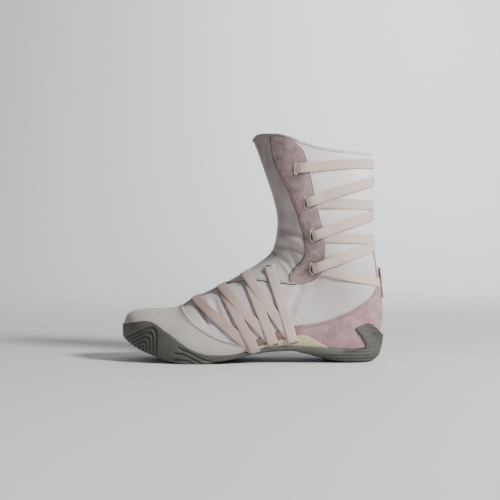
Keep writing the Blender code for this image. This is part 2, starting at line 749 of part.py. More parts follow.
def plate_outline(grow):
    """Side view of the arch plate, grown all round by a clearance."""
    top, bottom = side_view(PLATE_TOP_EDGE), side_view(SOLE_TOP_EDGE)
    between = (bottom[:, 0] > top[0][0] + GAP) & (bottom[:, 0] < top[-1][0] - GAP)
    return shrink(np.vstack([top, bottom[between][::-1]]), -grow)


def make_plate_form(name, material, low, high, grow):
    """Arch plate: a thin saddle under the foot whose wings stand up on both sides."""

    def outer(row, side):
        return sole_inside(row, side, high)

    form = sole_form(name, material, low, outer, PLATE_END_ROW, PLATE_COLUMNS)
    return combine(form, prism(plate_outline(grow), -BEYOND, BEYOND), "INTERSECT")


def make_binding(tape_edge):
    """Folded tape round the collar's edge, seated on the ends of wall and panels."""
    turns = GRID_COLUMNS[:-1]
    top = np.full_like(turns, float(LAST_ROW))
    along, _, out = directions(top, turns)
    edge = skin(top, turns)
    inner, outer = -WALL - GAP, GAP + SUEDE + GAP
    ring = [
        edge + out * lift + along * rise
        for lift, rise in ((inner, GAP), (outer, GAP), (outer, BINDING_RISE), (inner, BINDING_RISE))
    ]
    points = np.stack(ring, 1).reshape(-1, 3)
    count = len(turns)
    faces = []
    for here in range(count):
        there = (here + 1) % count
        for side in range(4):
            after = (side + 1) % 4
            faces.append([4 * here + side, 4 * here + after, 4 * there + after, 4 * there + side])
    return closed_mesh("collar_binding", points, faces, tape_edge)


def make_pull_tab(suede):
    """Strap of suede stitched down at both ends, standing off the heel between them."""
    rows = np.linspace(*TAB_ROWS, 11)
    swell = np.sin(np.linspace(0, math.pi, 11)) ** 0.6 * TAB_SWELL
    seat = 2 * GAP + SUEDE + swell
    inner_line = lifted(rows, 1.0, seat)[:, [0, 2]]
    outer_line = lifted(rows, 1.0, seat + TAB_THICKNESS)[:, [0, 2]]
    middle = skin(TAB_ROWS[0], 1.0)[1]
    edges = middle - TAB_WIDTH / 2, middle + TAB_WIDTH / 2
    tab = prism(np.vstack([inner_line, outer_line[::-1]]), *edges)
    tab.name = tab.data.name = "pull_tab"
    tab.data.materials.append(suede)
    return tab


def make_toe_cap(leather):
    """Leather cap over the toe, from the sole's edge up to the instep panel."""
    sole_top, edge = side_view(SOLE_TOP_EDGE), side_view(CAP_EDGE)
    above_sole = shifted(sole_top[sole_top[:, 0] <= edge[-1][0]], GAP)
    rear = shifted(edge, -GAP / 2)
    front = [(rear[0][0], ABOVE), (-LENGTH, ABOVE), (-LENGTH, above_sole[0][1])]
    cap = overlay("toe_cap", LEATHER, [*above_sole, *rear[::-1], *front], leather, PANEL_ROWS["toe_cap"])
    return combine(cap, prism(plate_outline(GAP), -BEYOND, BEYOND), "DIFFERENCE")


def make_instep_panel(leather):
    """Leather over the instep, from the toe cap to the ankle, with the first slots."""
    cap_edge, top_edge = side_view(CAP_EDGE), shifted(side_view(INSTEP_TOP_EDGE), -GAP / 2)
    start = shifted(cap_edge, GAP / 2)[0][0]
    lower = shifted(side_view(INSTEP_EDGE), GAP / 2)
    outline = [(start, ABOVE), *lower, *top_edge[::-1], (top_edge[0][0], ABOVE)]
    panel = overlay("instep_panel", LEATHER, outline, leather, PANEL_ROWS["instep_panel"])
    before_cap = [(-LENGTH, 0), *cap_edge[::-1], (cap_edge[0][0], ABOVE), (-LENGTH, ABOVE)]
    combine(panel, prism(before_cap, -BEYOND, BEYOND), "DIFFERENCE")
    for side in (-1, 1):
        for row, turn in INSTEP_SLOTS:
            ahead = skin(row + 0.2, side * turn) - skin(row - 0.2, side * turn)
            combine(panel, slot_cutter(row, side * turn, ahead[[0, 2]]), "DIFFERENCE")
    return panel


def make_shaft_front(satin):
    """Smooth panel up the front of the shaft, between the eyestays."""
    seam, foot = shifted(side_view(FRONT_SEAM), -GAP / 2), shifted(side_view(INSTEP_TOP_EDGE), GAP / 2)
    front = [(-LENGTH, foot[0][1]), (-LENGTH, ABOVE), (seam[0][0], ABOVE)]
    return overlay("shaft_front", LEATHER, [*front, *seam, *foot[::-1]], satin, PANEL_ROWS["shaft_front"])


def make_eyestay(name, side, suede):
    """Suede strip beside the front of the shaft, with four slots for the elastic."""
    limits = (-BEYOND, 0.0) if side < 0 else (0.0, BEYOND)
    outline = shrink(eyestay_outline(), GAP / 2)
    stay = overlay(name, SUEDE, outline, suede, PANEL_ROWS["eyestay"], limits)
    for slot in SHAFT_SLOTS:
        row, turn = turn_at(placed(slot), side, SHAFT_TAPE_ROWS)
        combine(stay, slot_cutter(row, turn, SHAFT_SLOT_WAY), "DIFFERENCE")
    return stay


def make_counter(suede):
    """Suede round the heel, above the sole, with a strip up the back seam."""
    edge, hook_line = side_view(COUNTER_TOP_EDGE), shifted(side_view(SOLE_TOP_EDGE + HEEL_HOOK), GAP)
    hook_line = hook_line[hook_line[:, 0] >= edge[0][0]]
    outline = [*edge, (LENGTH, edge[-1][1]), (LENGTH, hook_line[-1][1]), *hook_line[::-1]]
    counter = overlay("heel_counter", SUEDE, outline, suede, PANEL_ROWS["heel_counter"])
    return combine(counter, prism(plate_outline(GAP), -BEYOND, BEYOND), "DIFFERENCE")


def shrink(outline, distance):
    """A closed outline moved inwards by a small distance."""
    outline = np.array(outline)
    ahead, behind = np.roll(outline, -1, 0) - outline, outline - np.roll(outline, 1, 0)
    step = unit(unit(ahead) + unit(behind))
    x, z = outline[:, 0], outline[:, 1]
    area = (x * np.roll(z, -1) - np.roll(x, -1) * z).sum()
    side = np.sign(area) * distance
    return outline + np.stack([-step[:, 1], step[:, 0]], 1) * side


def eyestay_outline():
    """Side view of an eyestay, from the front seam round its foot and up its back edge."""
    seam, back_edge = side_view(FRONT_SEAM), side_view(EYESTAY_BACK_EDGE)
    foot = side_view([FRONT_SEAM[-1], *EYESTAY_FOOT, EYESTAY_BACK_EDGE[0]])
    top = [(seam[0][0], ABOVE), (back_edge[-1][0], ABOVE)]
    return np.array([*top, *back_edge[::-1], *foot[::-1][1:-1], *seam[::-1]])


def make_laces(elastic):
    """Wide elastic: one zigzag round the back of the shaft, one on each side of the foot."""
    runs = []
    for number, height in enumerate(BAR_HEIGHTS_AT_BACK):
        slot = SHAFT_SLOTS[number]
        start = slot if number == 0 else slot_behind(slot)
        run = shaft_tape(start, height, slot, 0.0, elastic)
        if number > 0:
            combine(run, prism(shrink(eyestay_outline(), -GAP), -BEYOND, 0), "DIFFERENCE")
        runs.append(run)
    for number, height in enumerate(SLANT_HEIGHTS_AT_BACK):
        end = slot_behind(SHAFT_SLOTS[number])
        run = shaft_tape(SHAFT_SLOTS[number + 1], height, end, CROSSING, elastic)
        combine(run, prism(shrink(eyestay_outline(), -GAP), 0, BEYOND), "DIFFERENCE")
        runs.append(run)
    laces = [join(runs, "shaft_lace")]
    panel_edge = shifted(side_view(INSTEP_EDGE), -GAP)
    sole_line = shifted(side_view(SOLE_TOP_EDGE), 2 * GAP)
    for sign, word in ((-1, "outer"), (1, "inner")):
        runs = []
        for number, foot in enumerate(PLATE_TURNS):
            runs.append(instep_tape(INSTEP_SLOTS[number], foot, sign, CROSSING, elastic))
            row, turn = INSTEP_SLOTS[number + 1]
            run = instep_tape((row, turn), foot, sign, 0.0, elastic)
            if number < len(PLATE_TURNS) - 1:
                over = [*panel_edge, (panel_edge[-1][0], HEIGHT), (panel_edge[0][0], HEIGHT)]
                combine(run, prism(over, -BEYOND, BEYOND), "DIFFERENCE")
            runs.append(run)
        lace = join(runs, f"instep_lace_{word}")
        below = [*sole_line, (sole_line[-1][0], -HEIGHT), (sole_line[0][0], -HEIGHT)]
        laces.append(combine(lace, prism(below, -BEYOND, BEYOND), "DIFFERENCE"))
    return laces


def slot_behind(slot):
    """A place behind a slot, under the eyestay's edge, where elastic comes out again."""
    return (slot[0] + SLOT_RETURN[0], slot[1] + SLOT_RETURN[1])


def main():
    """Makes each piece of the boot in an empty scene."""
    for thing in list(bpy.data.objects):
        bpy.data.objects.remove(thing)
    stuffs = {
        "fabric": finish_of("fabric", (0.62, 0.60, 0.60), 0.85),
        "leather": finish_of("leather", (0.60, 0.57, 0.53), 0.5),
        "satin": finish_of("satin", (0.42, 0.38, 0.37), 0.45),
        "suede": finish_of("suede", (0.50, 0.36, 0.37), 0.95),
        "rubber": finish_of("rubber", (0.14, 0.14, 0.12), 0.6),
        "plate": finish_of("plate", (0.66, 0.63, 0.53), 0.4),
        "elastic": finish_of("elastic", (0.60, 0.50, 0.45), 0.8),
        "binding": finish_of("binding", (0.45, 0.40, 0.38), 0.7),
        "foam": finish_of("foam", (0.55, 0.52, 0.50), 0.9),
    }
    boot = bpy.data.objects.new("boot", None)
    bpy.context.scene.collection.objects.link(boot)
    clearance = make_plate_form("clearance", None, 0.0, PLATE + 2 * GAP, GAP)
    pieces = [
        make_upper(stuffs["fabric"]),
        make_insole(stuffs["foam"]),
        make_outsole(stuffs["rubber"], clearance),
        make_plate_form("arch_plate", stuffs["plate"], GAP, GAP + PLATE, 0.0),
        make_binding(stuffs["binding"]),
        make_pull_tab(stuffs["suede"]),
        make_toe_cap(stuffs["leather"]),
        make_instep_panel(stuffs["leather"]),
        make_shaft_front(stuffs["satin"]),
        make_eyestay("eyestay_outer", -1, stuffs["suede"]),
        make_eyestay("eyestay_inner", 1, stuffs["suede"]),
        make_counter(stuffs["suede"]),
        *make_laces(stuffs["elastic"]),
    ]
    for piece in pieces:
        piece.parent = boot
        piece.data.shade_smooth()
        piece.data.set_sharp_from_angle(angle=math.radians(40))


main()
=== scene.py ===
"""High-top boxing boot, left foot: its visible surfaces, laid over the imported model.

The toe points along -X, the outer side is -Y and +Z is up. All lengths are metres.
"""

import math

import bmesh
import bpy
import numpy as np
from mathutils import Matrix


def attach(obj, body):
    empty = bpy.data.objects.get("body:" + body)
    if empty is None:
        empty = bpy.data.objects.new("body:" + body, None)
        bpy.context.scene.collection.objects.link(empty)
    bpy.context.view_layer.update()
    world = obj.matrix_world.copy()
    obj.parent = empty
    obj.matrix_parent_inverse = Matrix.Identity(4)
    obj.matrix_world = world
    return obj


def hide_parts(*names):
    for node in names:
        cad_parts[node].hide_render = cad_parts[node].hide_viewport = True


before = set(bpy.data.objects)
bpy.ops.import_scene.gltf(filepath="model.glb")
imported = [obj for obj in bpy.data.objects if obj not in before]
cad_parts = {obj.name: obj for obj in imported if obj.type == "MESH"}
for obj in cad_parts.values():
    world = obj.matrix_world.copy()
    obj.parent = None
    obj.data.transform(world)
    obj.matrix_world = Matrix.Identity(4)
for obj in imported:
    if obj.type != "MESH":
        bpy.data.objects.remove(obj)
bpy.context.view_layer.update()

# The boot's knitted base, from which every other piece takes its place. It is a stretch
# knit over a thin lining, sewn to the shape of the last, with a smoother, looser textile
# over the forefoot. It creases where the foot bends.
LENGTH = 0.267
HEIGHT = 0.2295
BALL_WIDTH = 0.094
WALL = 0.0018
SECTION_COLUMNS = (
    "low_x low_z top_x top_z outer inner feather_out feather_in lean belly crown hull"
).split()
SECTIONS = [
    (0.013, 0.143, 0.013, 0.143, 0.000, 0.000, 0.000, 0.000, 0.106, 0.50, 2.1, 2.1),
    (0.017, 0.116, 0.016, 0.182, 0.112, 0.102, 0.075, 0.070, 0.103, 0.50, 2.1, 2.1),
    (0.030, 0.099, 0.029, 0.203, 0.205, 0.190, 0.160, 0.148, 0.098, 0.46, 2.2, 2.1),
    (0.058, 0.081, 0.058, 0.215, 0.300, 0.265, 0.255, 0.222, 0.086, 0.41, 2.3, 2.1),
    (0.100, 0.060, 0.100, 0.221, 0.372, 0.327, 0.328, 0.283, 0.071, 0.37, 2.3, 2.1),
    (0.146, 0.045, 0.146, 0.223, 0.418, 0.372, 0.376, 0.330, 0.056, 0.34, 2.3, 2.1),
    (0.196, 0.030, 0.188, 0.226, 0.448, 0.405, 0.406, 0.364, 0.041, 0.33, 2.3, 2.1),
    (0.249, 0.024, 0.228, 0.236, 0.464, 0.422, 0.424, 0.380, 0.026, 0.33, 2.2, 2.1),
    (0.311, 0.023, 0.274, 0.268, 0.468, 0.420, 0.426, 0.374, 0.014, 0.32, 2.05, 2.1),
    (0.376, 0.028, 0.326, 0.296, 0.460, 0.400, 0.412, 0.340, 0.004, 0.30, 1.95, 2.1),
    (0.444, 0.045, 0.379, 0.326, 0.440, 0.370, 0.386, 0.296, -0.004, 0.28, 1.90, 2.1),
    (0.513, 0.065, 0.429, 0.358, 0.417, 0.343, 0.358, 0.260, -0.009, 0.27, 1.86, 2.1),
    (0.586, 0.079, 0.473, 0.387, 0.395, 0.328, 0.332, 0.245, -0.014, 0.27, 1.86, 2.1),
    (0.662, 0.079, 0.509, 0.412, 0.375, 0.323, 0.312, 0.248, -0.014, 0.27, 1.88, 2.1),
    (0.742, 0.072, 0.540, 0.437, 0.358, 0.325, 0.300, 0.262, -0.014, 0.28, 1.92, 2.1),
    (0.823, 0.063, 0.561, 0.457, 0.346, 0.330, 0.284, 0.268, -0.014, 0.30, 1.96, 2.1),
    (0.892, 0.057, 0.576, 0.477, 0.340, 0.334, 0.250, 0.244, -0.014, 0.33, 2.0, 2.1),
    (0.944, 0.070, 0.585, 0.498, 0.338, 0.336, 0.178, 0.176, -0.014, 0.37, 2.0, 2.1),
    (0.970, 0.100, 0.591, 0.520, 0.338, 0.338, 0.000, 0.000, -0.014, 0.41, 2.05, 2.1),
    (0.983, 0.146, 0.595, 0.544, 0.343, 0.343, 0.000, 0.000, -0.014, 0.44, 2.1, 2.1),
    (0.989, 0.205, 0.598, 0.572, 0.350, 0.350, 0.000, 0.000, -0.014, 0.46, 2.1, 2.1),
    (0.987, 0.271, 0.600, 0.601, 0.356, 0.356, 0.000, 0.000, -0.014, 0.48, 2.1, 2.1),
    (0.978, 0.341, 0.599, 0.633, 0.360, 0.360, 0.000, 0.000, -0.014, 0.49, 2.1, 2.1),
    (0.966, 0.417, 0.594, 0.672, 0.359, 0.359, 0.000, 0.000, -0.014, 0.50, 2.15, 2.1),
    (0.957, 0.492, 0.584, 0.717, 0.356, 0.356, 0.000, 0.000, -0.014, 0.50, 2.15, 2.1),
    (0.953, 0.577, 0.570, 0.768, 0.354, 0.354, 0.000, 0.000, -0.014, 0.50, 2.15, 2.1),
    (0.952, 0.675, 0.552, 0.826, 0.354, 0.354, 0.000, 0.000, -0.014, 0.50, 2.1, 2.1),
    (0.952, 0.790, 0.531, 0.893, 0.357, 0.357, 0.000, 0.000, -0.014, 0.50, 2.05, 2.1),
    (0.953, 0.905, 0.507, 0.958, 0.362, 0.362, 0.000, 0.000, -0.014, 0.50, 2.0, 2.1),
]
LAST_ROW = len(SECTIONS) - 1
CLOSED_ROW = 18
MIRRORED = ("outer", "inner", "feather_out", "feather_in")
# How far the collar's edge stands above a straight line from back to front: share of the
# way to the front, and share of HEIGHT.
COLLAR_RISE = [
    (0.0, 0.0), (0.3, -0.007), (0.5, -0.001), (0.6, 0.014), (0.7, 0.029), (0.8, 0.038),
    (0.93, 0.036), (0.97, 0.032), (1.0, 0.017),
]
RISE_ROWS = 6.0


def section_at(row):
    """Each column of SECTIONS at fractional row numbers, by Catmull-Rom interpolation.

    Before the toe tip the table is mirrored, so that the toe closes round; past the
    collar it goes straight on."""
    table = np.array(SECTIONS)
    ghost = table[1].copy()
    names = {name: number for number, name in enumerate(SECTION_COLUMNS)}
    for low, top in (("low_x", "top_x"), ("low_z", "top_z")):
        ghost[names[low]] = table[1][names[top]]
        ghost[names[top]] = table[1][names[low]]
    for name in MIRRORED:
        ghost[names[name]] *= -1
    found = catmull_rom(np.vstack([ghost, table, 2 * table[-1] - table[-2]]), row)
    for name in MIRRORED:
        found[..., names[name]] = np.maximum(found[..., names[name]], 0)
    return {name: found[..., number] for name, number in names.items()}


def catmull_rom(points, place):
    """The curve through points[1:-1] at fractional places counted from the second point."""
    place = np.clip(np.asarray(place, float), 0, len(points) - 3)
    start = np.minimum(place.astype(int), len(points) - 4)
    t = (place - start)[..., None]
    before, here, there, after = (points[start + step] for step in range(4))
    return 0.5 * (
        2 * here
        + (there - before) * t
        + (2 * before - 5 * here + 4 * there - after) * t**2
        + (3 * here - before - 3 * there + after) * t**3
    )


def smooth_line(points, steps=2):
    """A smooth curve through a short list of points, with several steps to each span."""
    points = np.array(points, float)
    ends = np.vstack([2 * points[0] - points[1], points, 2 * points[-1] - points[-2]])
    return catmull_rom(ends, np.linspace(0, len(points) - 1, (len(points) - 1) * steps + 1))


def side_view(points, steps=2):
    """An outline given in shares, as (x, z) in metres."""
    return smooth_line(points, steps) * (LENGTH, HEIGHT) - (LENGTH / 2, 0)


def collar_rise(share, row):
    """Height added near the collar, so that its edge is not a straight line."""
    table = np.array(COLLAR_RISE)
    fade = np.clip(1 - (LAST_ROW - row) / RISE_ROWS, 0, 1) ** 2
    return np.interp(share, table[:, 0], table[:, 1]) * HEIGHT * fade


def skin(row, around):
    """A point of the last's surface.

    row runs from the toe tip to the collar. around is 0 on the ridge, 0.5 where the
    section is widest and 1 at the sole's edge or the back seam, negative on the outer
    side. Each half section is a quarter superellipse above its widest point and
    another below it."""
    row, around = np.broadcast_arrays(np.asarray(row, float), np.asarray(around, float))
    s = section_at(row)
    turn = np.abs(around)
    widest = np.where(around < 0, s["outer"], s["inner"])
    feather = np.where(around < 0, s["feather_out"], s["feather_in"])
    upper = np.clip(turn, 0, 0.5) * math.pi
    lower = np.clip(turn - 0.5, 0, 0.5) * math.pi
    crown, hull = 2 / s["crown"], 2 / s["hull"]
    above = turn <= 0.5
    sin_u, cos_u = np.sin(upper) ** crown, np.clip(np.cos(upper), 0, 1) ** crown
    sin_l, cos_l = np.sin(lower) ** hull, np.clip(np.cos(lower), 0, 1) ** hull
    half = np.where(above, widest * sin_u, feather + (widest - feather) * cos_l)
    share = np.where(above, s["belly"] + (1 - s["belly"]) * cos_u, s["belly"] * (1 - sin_l))
    x = (s["low_x"] + (s["top_x"] - s["low_x"]) * share - 0.5) * LENGTH
    z = (s["low_z"] + (s["top_z"] - s["low_z"]) * share) * HEIGHT + collar_rise(share, row)
    y = (s["lean"] + np.sign(around) * half) * BALL_WIDTH
    return np.stack([x, y, z], -1)


def directions(row, around):
    """Unit vectors along the rows, round the section and straight out of the surface."""
    step = 0.02
    row = np.clip(row, 3 * step, LAST_ROW)
    along = skin(np.minimum(row + step, LAST_ROW), around) - skin(row - step, around)
    turned, back = (np.clip(around + half, -1, 1) for half in (step / 2, -step / 2))
    turn = skin(row, turned) - skin(row, back)
    return [unit(vector) for vector in (along, turn, np.cross(along, turn))]


def unit(vectors):
    """Vectors scaled to length 1, along the last axis; a zero vector stays zero."""
    return vectors / np.maximum(np.linalg.norm(vectors, axis=-1, keepdims=True), 1e-12)


def lifted(row, around, lift):
    """A point of the surface moved straight out of it by lift."""
    row, around, lift = np.broadcast_arrays(row, around, lift)
    return skin(row, around) + directions(row, around)[2] * lift[..., None]


def rows_apart(start, end, spacing):
    """Rows from start to end, evenly spaced along the longer of ridge and side."""
    trial = np.linspace(start, end, 1500)
    steps = [np.linalg.norm(np.diff(skin(trial, turn), axis=0), axis=1) for turn in (0.0, 0.5)]
    length = np.concatenate([[0], np.cumsum(np.maximum(*steps))])
    return np.interp(np.linspace(0, length[-1], int(length[-1] / spacing) + 2), length, trial)


# Creases: ends as side-view shares of LENGTH and HEIGHT, then half width and depth in
# metres (a negative depth is a ridge) and the sides that have it, -1 outer, 1 inner, 0 both.
CREASES = [
    (0.296, 0.270, 0.338, 0.165, 0.0028, 0.0020, 0),
    (0.326, 0.275, 0.352, 0.190, 0.0026, -0.0012, 0),
    (0.352, 0.275, 0.395, 0.165, 0.0030, 0.0016, 0),
    (0.395, 0.300, 0.420, 0.210, 0.0040, 0.0009, 0),
    (0.680, 0.330, 0.634, 0.215, 0.0040, 0.0024, 0),
    (0.725, 0.330, 0.700, 0.250, 0.0070, 0.0012, 0),
    (0.650, 0.330, 0.612, 0.230, 0.0045, -0.0008, 0),
    (0.740, 0.560, 0.860, 0.520, 0.0050, 0.0006, 0),
    (0.770, 0.480, 0.900, 0.440, 0.0055, -0.0006, 0),
    (0.790, 0.330, 0.880, 0.380, 0.0060, 0.0007, 0),
    (0.598, 0.515, 0.690, 0.478, 0.0034, 0.0022, 0),
    (0.596, 0.545, 0.690, 0.515, 0.0036, -0.0012, 0),
    (0.600, 0.590, 0.690, 0.548, 0.0045, 0.0017, 0),
    (0.640, 0.480, 0.668, 0.425, 0.0026, 0.0013, 0),
    (0.620, 0.660, 0.672, 0.640, 0.0060, 0.0012, 0),
    (0.606, 0.740, 0.640, 0.640, 0.0040, 0.0009, 0),
    (0.548, 0.965, 0.558, 0.850, 0.0022, 0.0013, 0),
    (0.532, 0.950, 0.548, 0.780, 0.0022, -0.0009, 0),
    (0.570, 0.485, 0.640, 0.425, 0.0020, 0.0009, 0),
    (0.600, 0.455, 0.650, 0.395, 0.0022, 0.0009, 0),
]


def relief(row, around):
    """Height of the cloth's folds over the last: each crease is a bell-shaped trough (or
    ridge) across its side-view line, fading out past the line's ends."""
    place = skin(row, around)
    height = np.zeros(place.shape[:-1])
    for x0, z0, x1, z1, half, depth, side in CREASES:
        start = np.array([(x0 - 0.5) * LENGTH, z0 * HEIGHT])
        run = np.array([(x1 - 0.5) * LENGTH, z1 * HEIGHT]) - start
        reach = np.linalg.norm(run)
        rest = place[..., [0, 2]] - start
        share = (rest @ run) / reach**2
        bent = 0.15 * half * np.sin(share * 5 + x0 * 40)
        across = (rest[..., 0] * run[1] - rest[..., 1] * run[0]) / reach + bent
        past = np.maximum(np.abs(share - 0.5) - 0.35, 0) * reach
        bell = np.exp(-((across / half) ** 2) - (past / (1.5 * half)) ** 2)
        chosen = 1.0 if side == 0 else (np.sign(around) == side)
        height -= depth * bell * chosen
    return height * np.clip(np.abs(around) / 0.14, 0, 1)


def grid_faces(rows, columns, pole=False, seam_from=None):
    """Quads of a grid. pole makes the first row one point; from row seam_from on the last
    column is the first again."""
    number = np.arange(rows * columns).reshape(rows, columns)
    if pole:
        number[0] = number[0, 0]
    if seam_from is not None:
        number[seam_from:, -1] = number[seam_from:, 0]
    corners = (number[:-1, :-1], number[1:, :-1], number[1:, 1:], number[:-1, 1:])
    return np.stack(corners, -1).reshape(-1, 4)


# Points nearer together than this, in metres, become one.
MERGE = 2e-7


def piece(name, points, faces, finishes, uv=None, kinds=None):
    """A smooth-shaded mesh from arrays, riding on the boot. A corner that repeats the one
    before it is left out, points that coincide are merged, and faces point outwards."""
    mesh = bpy.data.meshes.new(name)
    mesh.vertices.add(len(points))
    mesh.vertices.foreach_set("co", np.asarray(points, np.float32).ravel())
    corner = faces != np.roll(faces, 1, axis=1)
    corners = corner.sum(1)
    loops = faces[corner].astype(np.int32)
    mesh.loops.add(len(loops))
    mesh.loops.foreach_set("vertex_index", loops)
    mesh.polygons.add(len(faces))
    mesh.polygons.foreach_set("loop_start", (np.cumsum(corners) - corners).astype(np.int32))
    if kinds is not None:
        mesh.polygons.foreach_set("material_index", kinds.astype(np.int32))
    if uv is not None:
        layer = mesh.uv_layers.new(name="UVMap")
        layer.data.foreach_set("uv", uv[loops].astype(np.float32).ravel())
    mesh.update(calc_edges=True)
    work = bmesh.new()
    work.from_mesh(mesh)
    bmesh.ops.remove_doubles(work, verts=work.verts, dist=MERGE)
    bmesh.ops.delete(work, geom=[v for v in work.verts if not v.link_faces], context="VERTS")
    if work.calc_volume(signed=True) < 0:
        bmesh.ops.reverse_faces(work, faces=work.faces)
    work.to_mesh(mesh)
    work.free()
    mesh.shade_smooth()
    for finish in finishes:
        mesh.materials.append(finish)
    thing = bpy.data.objects.new(name, mesh)
    bpy.context.scene.collection.objects.link(thing)
    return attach(thing, "root")


def between(name, top, under, finishes, uv=None, two_tone=False, **joined):
    """A closed piece between two grids of points: both sheets, and a wall round their edge."""
    rows, columns = top.shape[:2]
    faces = grid_faces(rows, columns, **joined)
    count = rows * columns
    edges = np.concatenate([faces[:, [a, (a + 1) % 4]] for a in range(4)])
    edges = edges[edges[:, 0] != edges[:, 1]]
    ahead, back = edges @ (count, 1), edges @ (1, count)
    rim = edges[~np.isin(ahead, back)]
    walls = np.stack([rim[:, 1], rim[:, 0], rim[:, 0] + count, rim[:, 1] + count], 1)
    every = np.concatenate([faces, faces[:, ::-1] + count, walls])
    kinds = np.zeros(len(every))
    if two_tone:
        kinds[len(faces) :] = 1
    points = np.concatenate([top.reshape(-1, 3), under.reshape(-1, 3)])
    if uv is not None:
        uv = np.concatenate([uv.reshape(-1, 2)] * 2)
    return piece(name, points, every, finishes, uv, kinds)


def lengths(points, axis):
    """Distance run along one axis of a grid of points, from its first place."""
    steps = np.linalg.norm(np.diff(points, axis=axis), axis=-1)
    first = np.zeros_like(np.take(steps, [0], axis))
    return np.concatenate([first, np.cumsum(steps, axis)], axis)


def cloth_map(points):
    """A map in metres for a grid of points: mean distance along each axis."""
    along = lengths(points, 0).mean(1, keepdims=True) + 0 * points[..., 0]
    across = lengths(points, 1)
    across = across - across[:, [across.shape[1] // 2]]
    return np.stack([across, along], -1)


class Finish:
    """A material, with add() for its nodes: a socket given as an input is linked to it, and
    anything else is set as its value."""

    def __init__(self, name, colour, roughness, **sockets):
        self.material = bpy.data.materials.new(name)
        self.material.use_nodes = True
        self.tree = self.material.node_tree
        self.shader = self.tree.nodes["Principled BSDF"]
        self.shader.inputs["Base Color"].default_value = (*colour, 1)
        self.shader.inputs["Roughness"].default_value = roughness
        for socket, value in sockets.items():
            self.shader.inputs[socket.replace("_", " ")].default_value = value
        self.places = self.tree.nodes.new("ShaderNodeTexCoord")

    def add(self, kind, inputs=None, **settings):
        """A new node with its inputs and settings filled in."""
        made = self.tree.nodes.new("ShaderNode" + kind)
        for field, value in settings.items():
            setattr(made, field, value)
        for socket, value in (inputs or {}).items():
            if isinstance(value, bpy.types.NodeSocket):
                self.tree.links.new(value, made.inputs[socket])
            else:
                made.inputs[socket].default_value = value
        return made

    def noise(self, scale, detail=3, place="Object", roughness=0.5):
        """Noise over the surface, from 0 to 1; scale is bumps to a metre."""
        inputs = {"Vector": self.places.outputs[place], "Scale": scale, "Detail": detail}
        return self.add("TexNoise", {**inputs, "Roughness": roughness}).outputs["Fac"]

    def ramp(self, value, *stops):
        """Colours, each at its own place between 0 and 1, picked by a value."""
        made = self.add("ValToRGB", {"Fac": value})
        while len(made.color_ramp.elements) < len(stops):
            made.color_ramp.elements.new(0.5)
        for element, (place, colour) in zip(made.color_ramp.elements, stops):
            element.position = place
            element.color = (*colour, 1)
        return made.outputs["Color"]

    def mix(self, share, first, second, blend="MIX"):
        """Two colours mixed by a share."""
        made = self.add("Mix", data_type="RGBA", blend_type=blend)
        for number, value in ((0, share), (6, first), (7, second)):
            if isinstance(value, bpy.types.NodeSocket):
                self.tree.links.new(value, made.inputs[number])
            elif number == 0:
                made.inputs[0].default_value = value
            else:
                made.inputs[number].default_value = (*value, 1)
        return made.outputs[2]

    def math(self, operation, first, second=0.5):
        """One number worked out from one or two others."""
        return self.add("Math", {0: first, 1: second}, operation=operation).outputs[0]

    def colour(self, socket):
        """The colour of the surface, from a socket."""
        self.tree.links.new(socket, self.shader.inputs["Base Color"])

    def bump(self, height, distance, strength):
        """Fine relief of a given depth in metres."""
        inputs = {"Height": height, "Distance": distance, "Strength": strength}
        made = self.add("Bump", inputs).outputs["Normal"]
        self.tree.links.new(made, self.shader.inputs["Normal"])

    def coordinate(self, axis, place="Object"):
        """One coordinate of the surface, in metres on the object or as its map gives it."""
        return self.add("SeparateXYZ", {0: self.places.outputs[place]}).outputs[axis]

    def fade(self, value, start, end):
        """From 0 where a value is start to 1 where it is end."""
        return self.add("MapRange", {0: value, 1: start, 2: end, 3: 0.0, 4: 1.0}).outputs[0]

    def ribs(self, pitch, way):
        """Soft ridges of a given pitch in metres, across a direction of the map: a sine."""
        inputs = {0: self.places.outputs["UV"], 1: (*way, 0)}
        turned = self.add("VectorMath", inputs, operation="DOT_PRODUCT")
        wave = self.math("MULTIPLY", turned.outputs["Value"], 2 * math.pi / pitch)
        return self.math("MULTIPLY_ADD", self.math("SINE", wave), 0.5)


def knit_finish():
    """Light stretch knit: diagonal ribs crossed by a finer one, warmer and smoother over
    the forefoot, with painted shade low down and a painted highlight towards the collar."""
    knit = Finish("knit", (0.62, 0.60, 0.59), 0.9, Sheen_Weight=0.25, Sheen_Roughness=0.5)
    steep = knit.ribs(0.0023, (0.85, -0.55))
    fine = knit.ribs(0.0014, (0.55, 0.85))
    weave = knit.math("ADD", steep, knit.math("MULTIPLY", fine, 0.6))
    cloud = knit.noise(28, 4)
    # Painted light: low is painted shade low down and high is a painted highlight towards the
    # collar, mixed by height.
    low = knit.ramp(cloud, (0.25, (0.56, 0.505, 0.49)), (0.75, (0.69, 0.64, 0.62)))
    high = knit.ramp(cloud, (0.25, (0.84, 0.78, 0.76)), (0.75, (0.95, 0.91, 0.895)))
    up = knit.fade(knit.coordinate(2), 0.07, 0.19)
    vamp = knit.ramp(cloud, (0.25, (0.52, 0.455, 0.45)), (0.75, (0.66, 0.60, 0.59)))
    forefoot = knit.fade(knit.coordinate(0), 0.045, 0.020)
    both = knit.mix(forefoot, knit.mix(up, low, high), vamp)
    shade = knit.ramp(weave, (0.3, (0.80, 0.80, 0.81)), (0.9, (1.0, 1.0, 1.0)))
    knit.colour(knit.mix(0.8, both, shade, "MULTIPLY"))
    knit.bump(weave, 0.0004, 0.55)
    return knit.material


def lining_finish():
    """Thin brushed lining."""
    lining = Finish("lining", (0.42, 0.39, 0.38), 0.95, Sheen_Weight=0.3)
    cloud = lining.noise(30)
    lining.colour(lining.ramp(cloud, (0.3, (0.30, 0.275, 0.27)), (0.7, (0.42, 0.39, 0.38))))
    lining.bump(lining.noise(900, 2), 0.0003, 0.5)
    return lining.material


KNIT, LINING = knit_finish(), lining_finish()
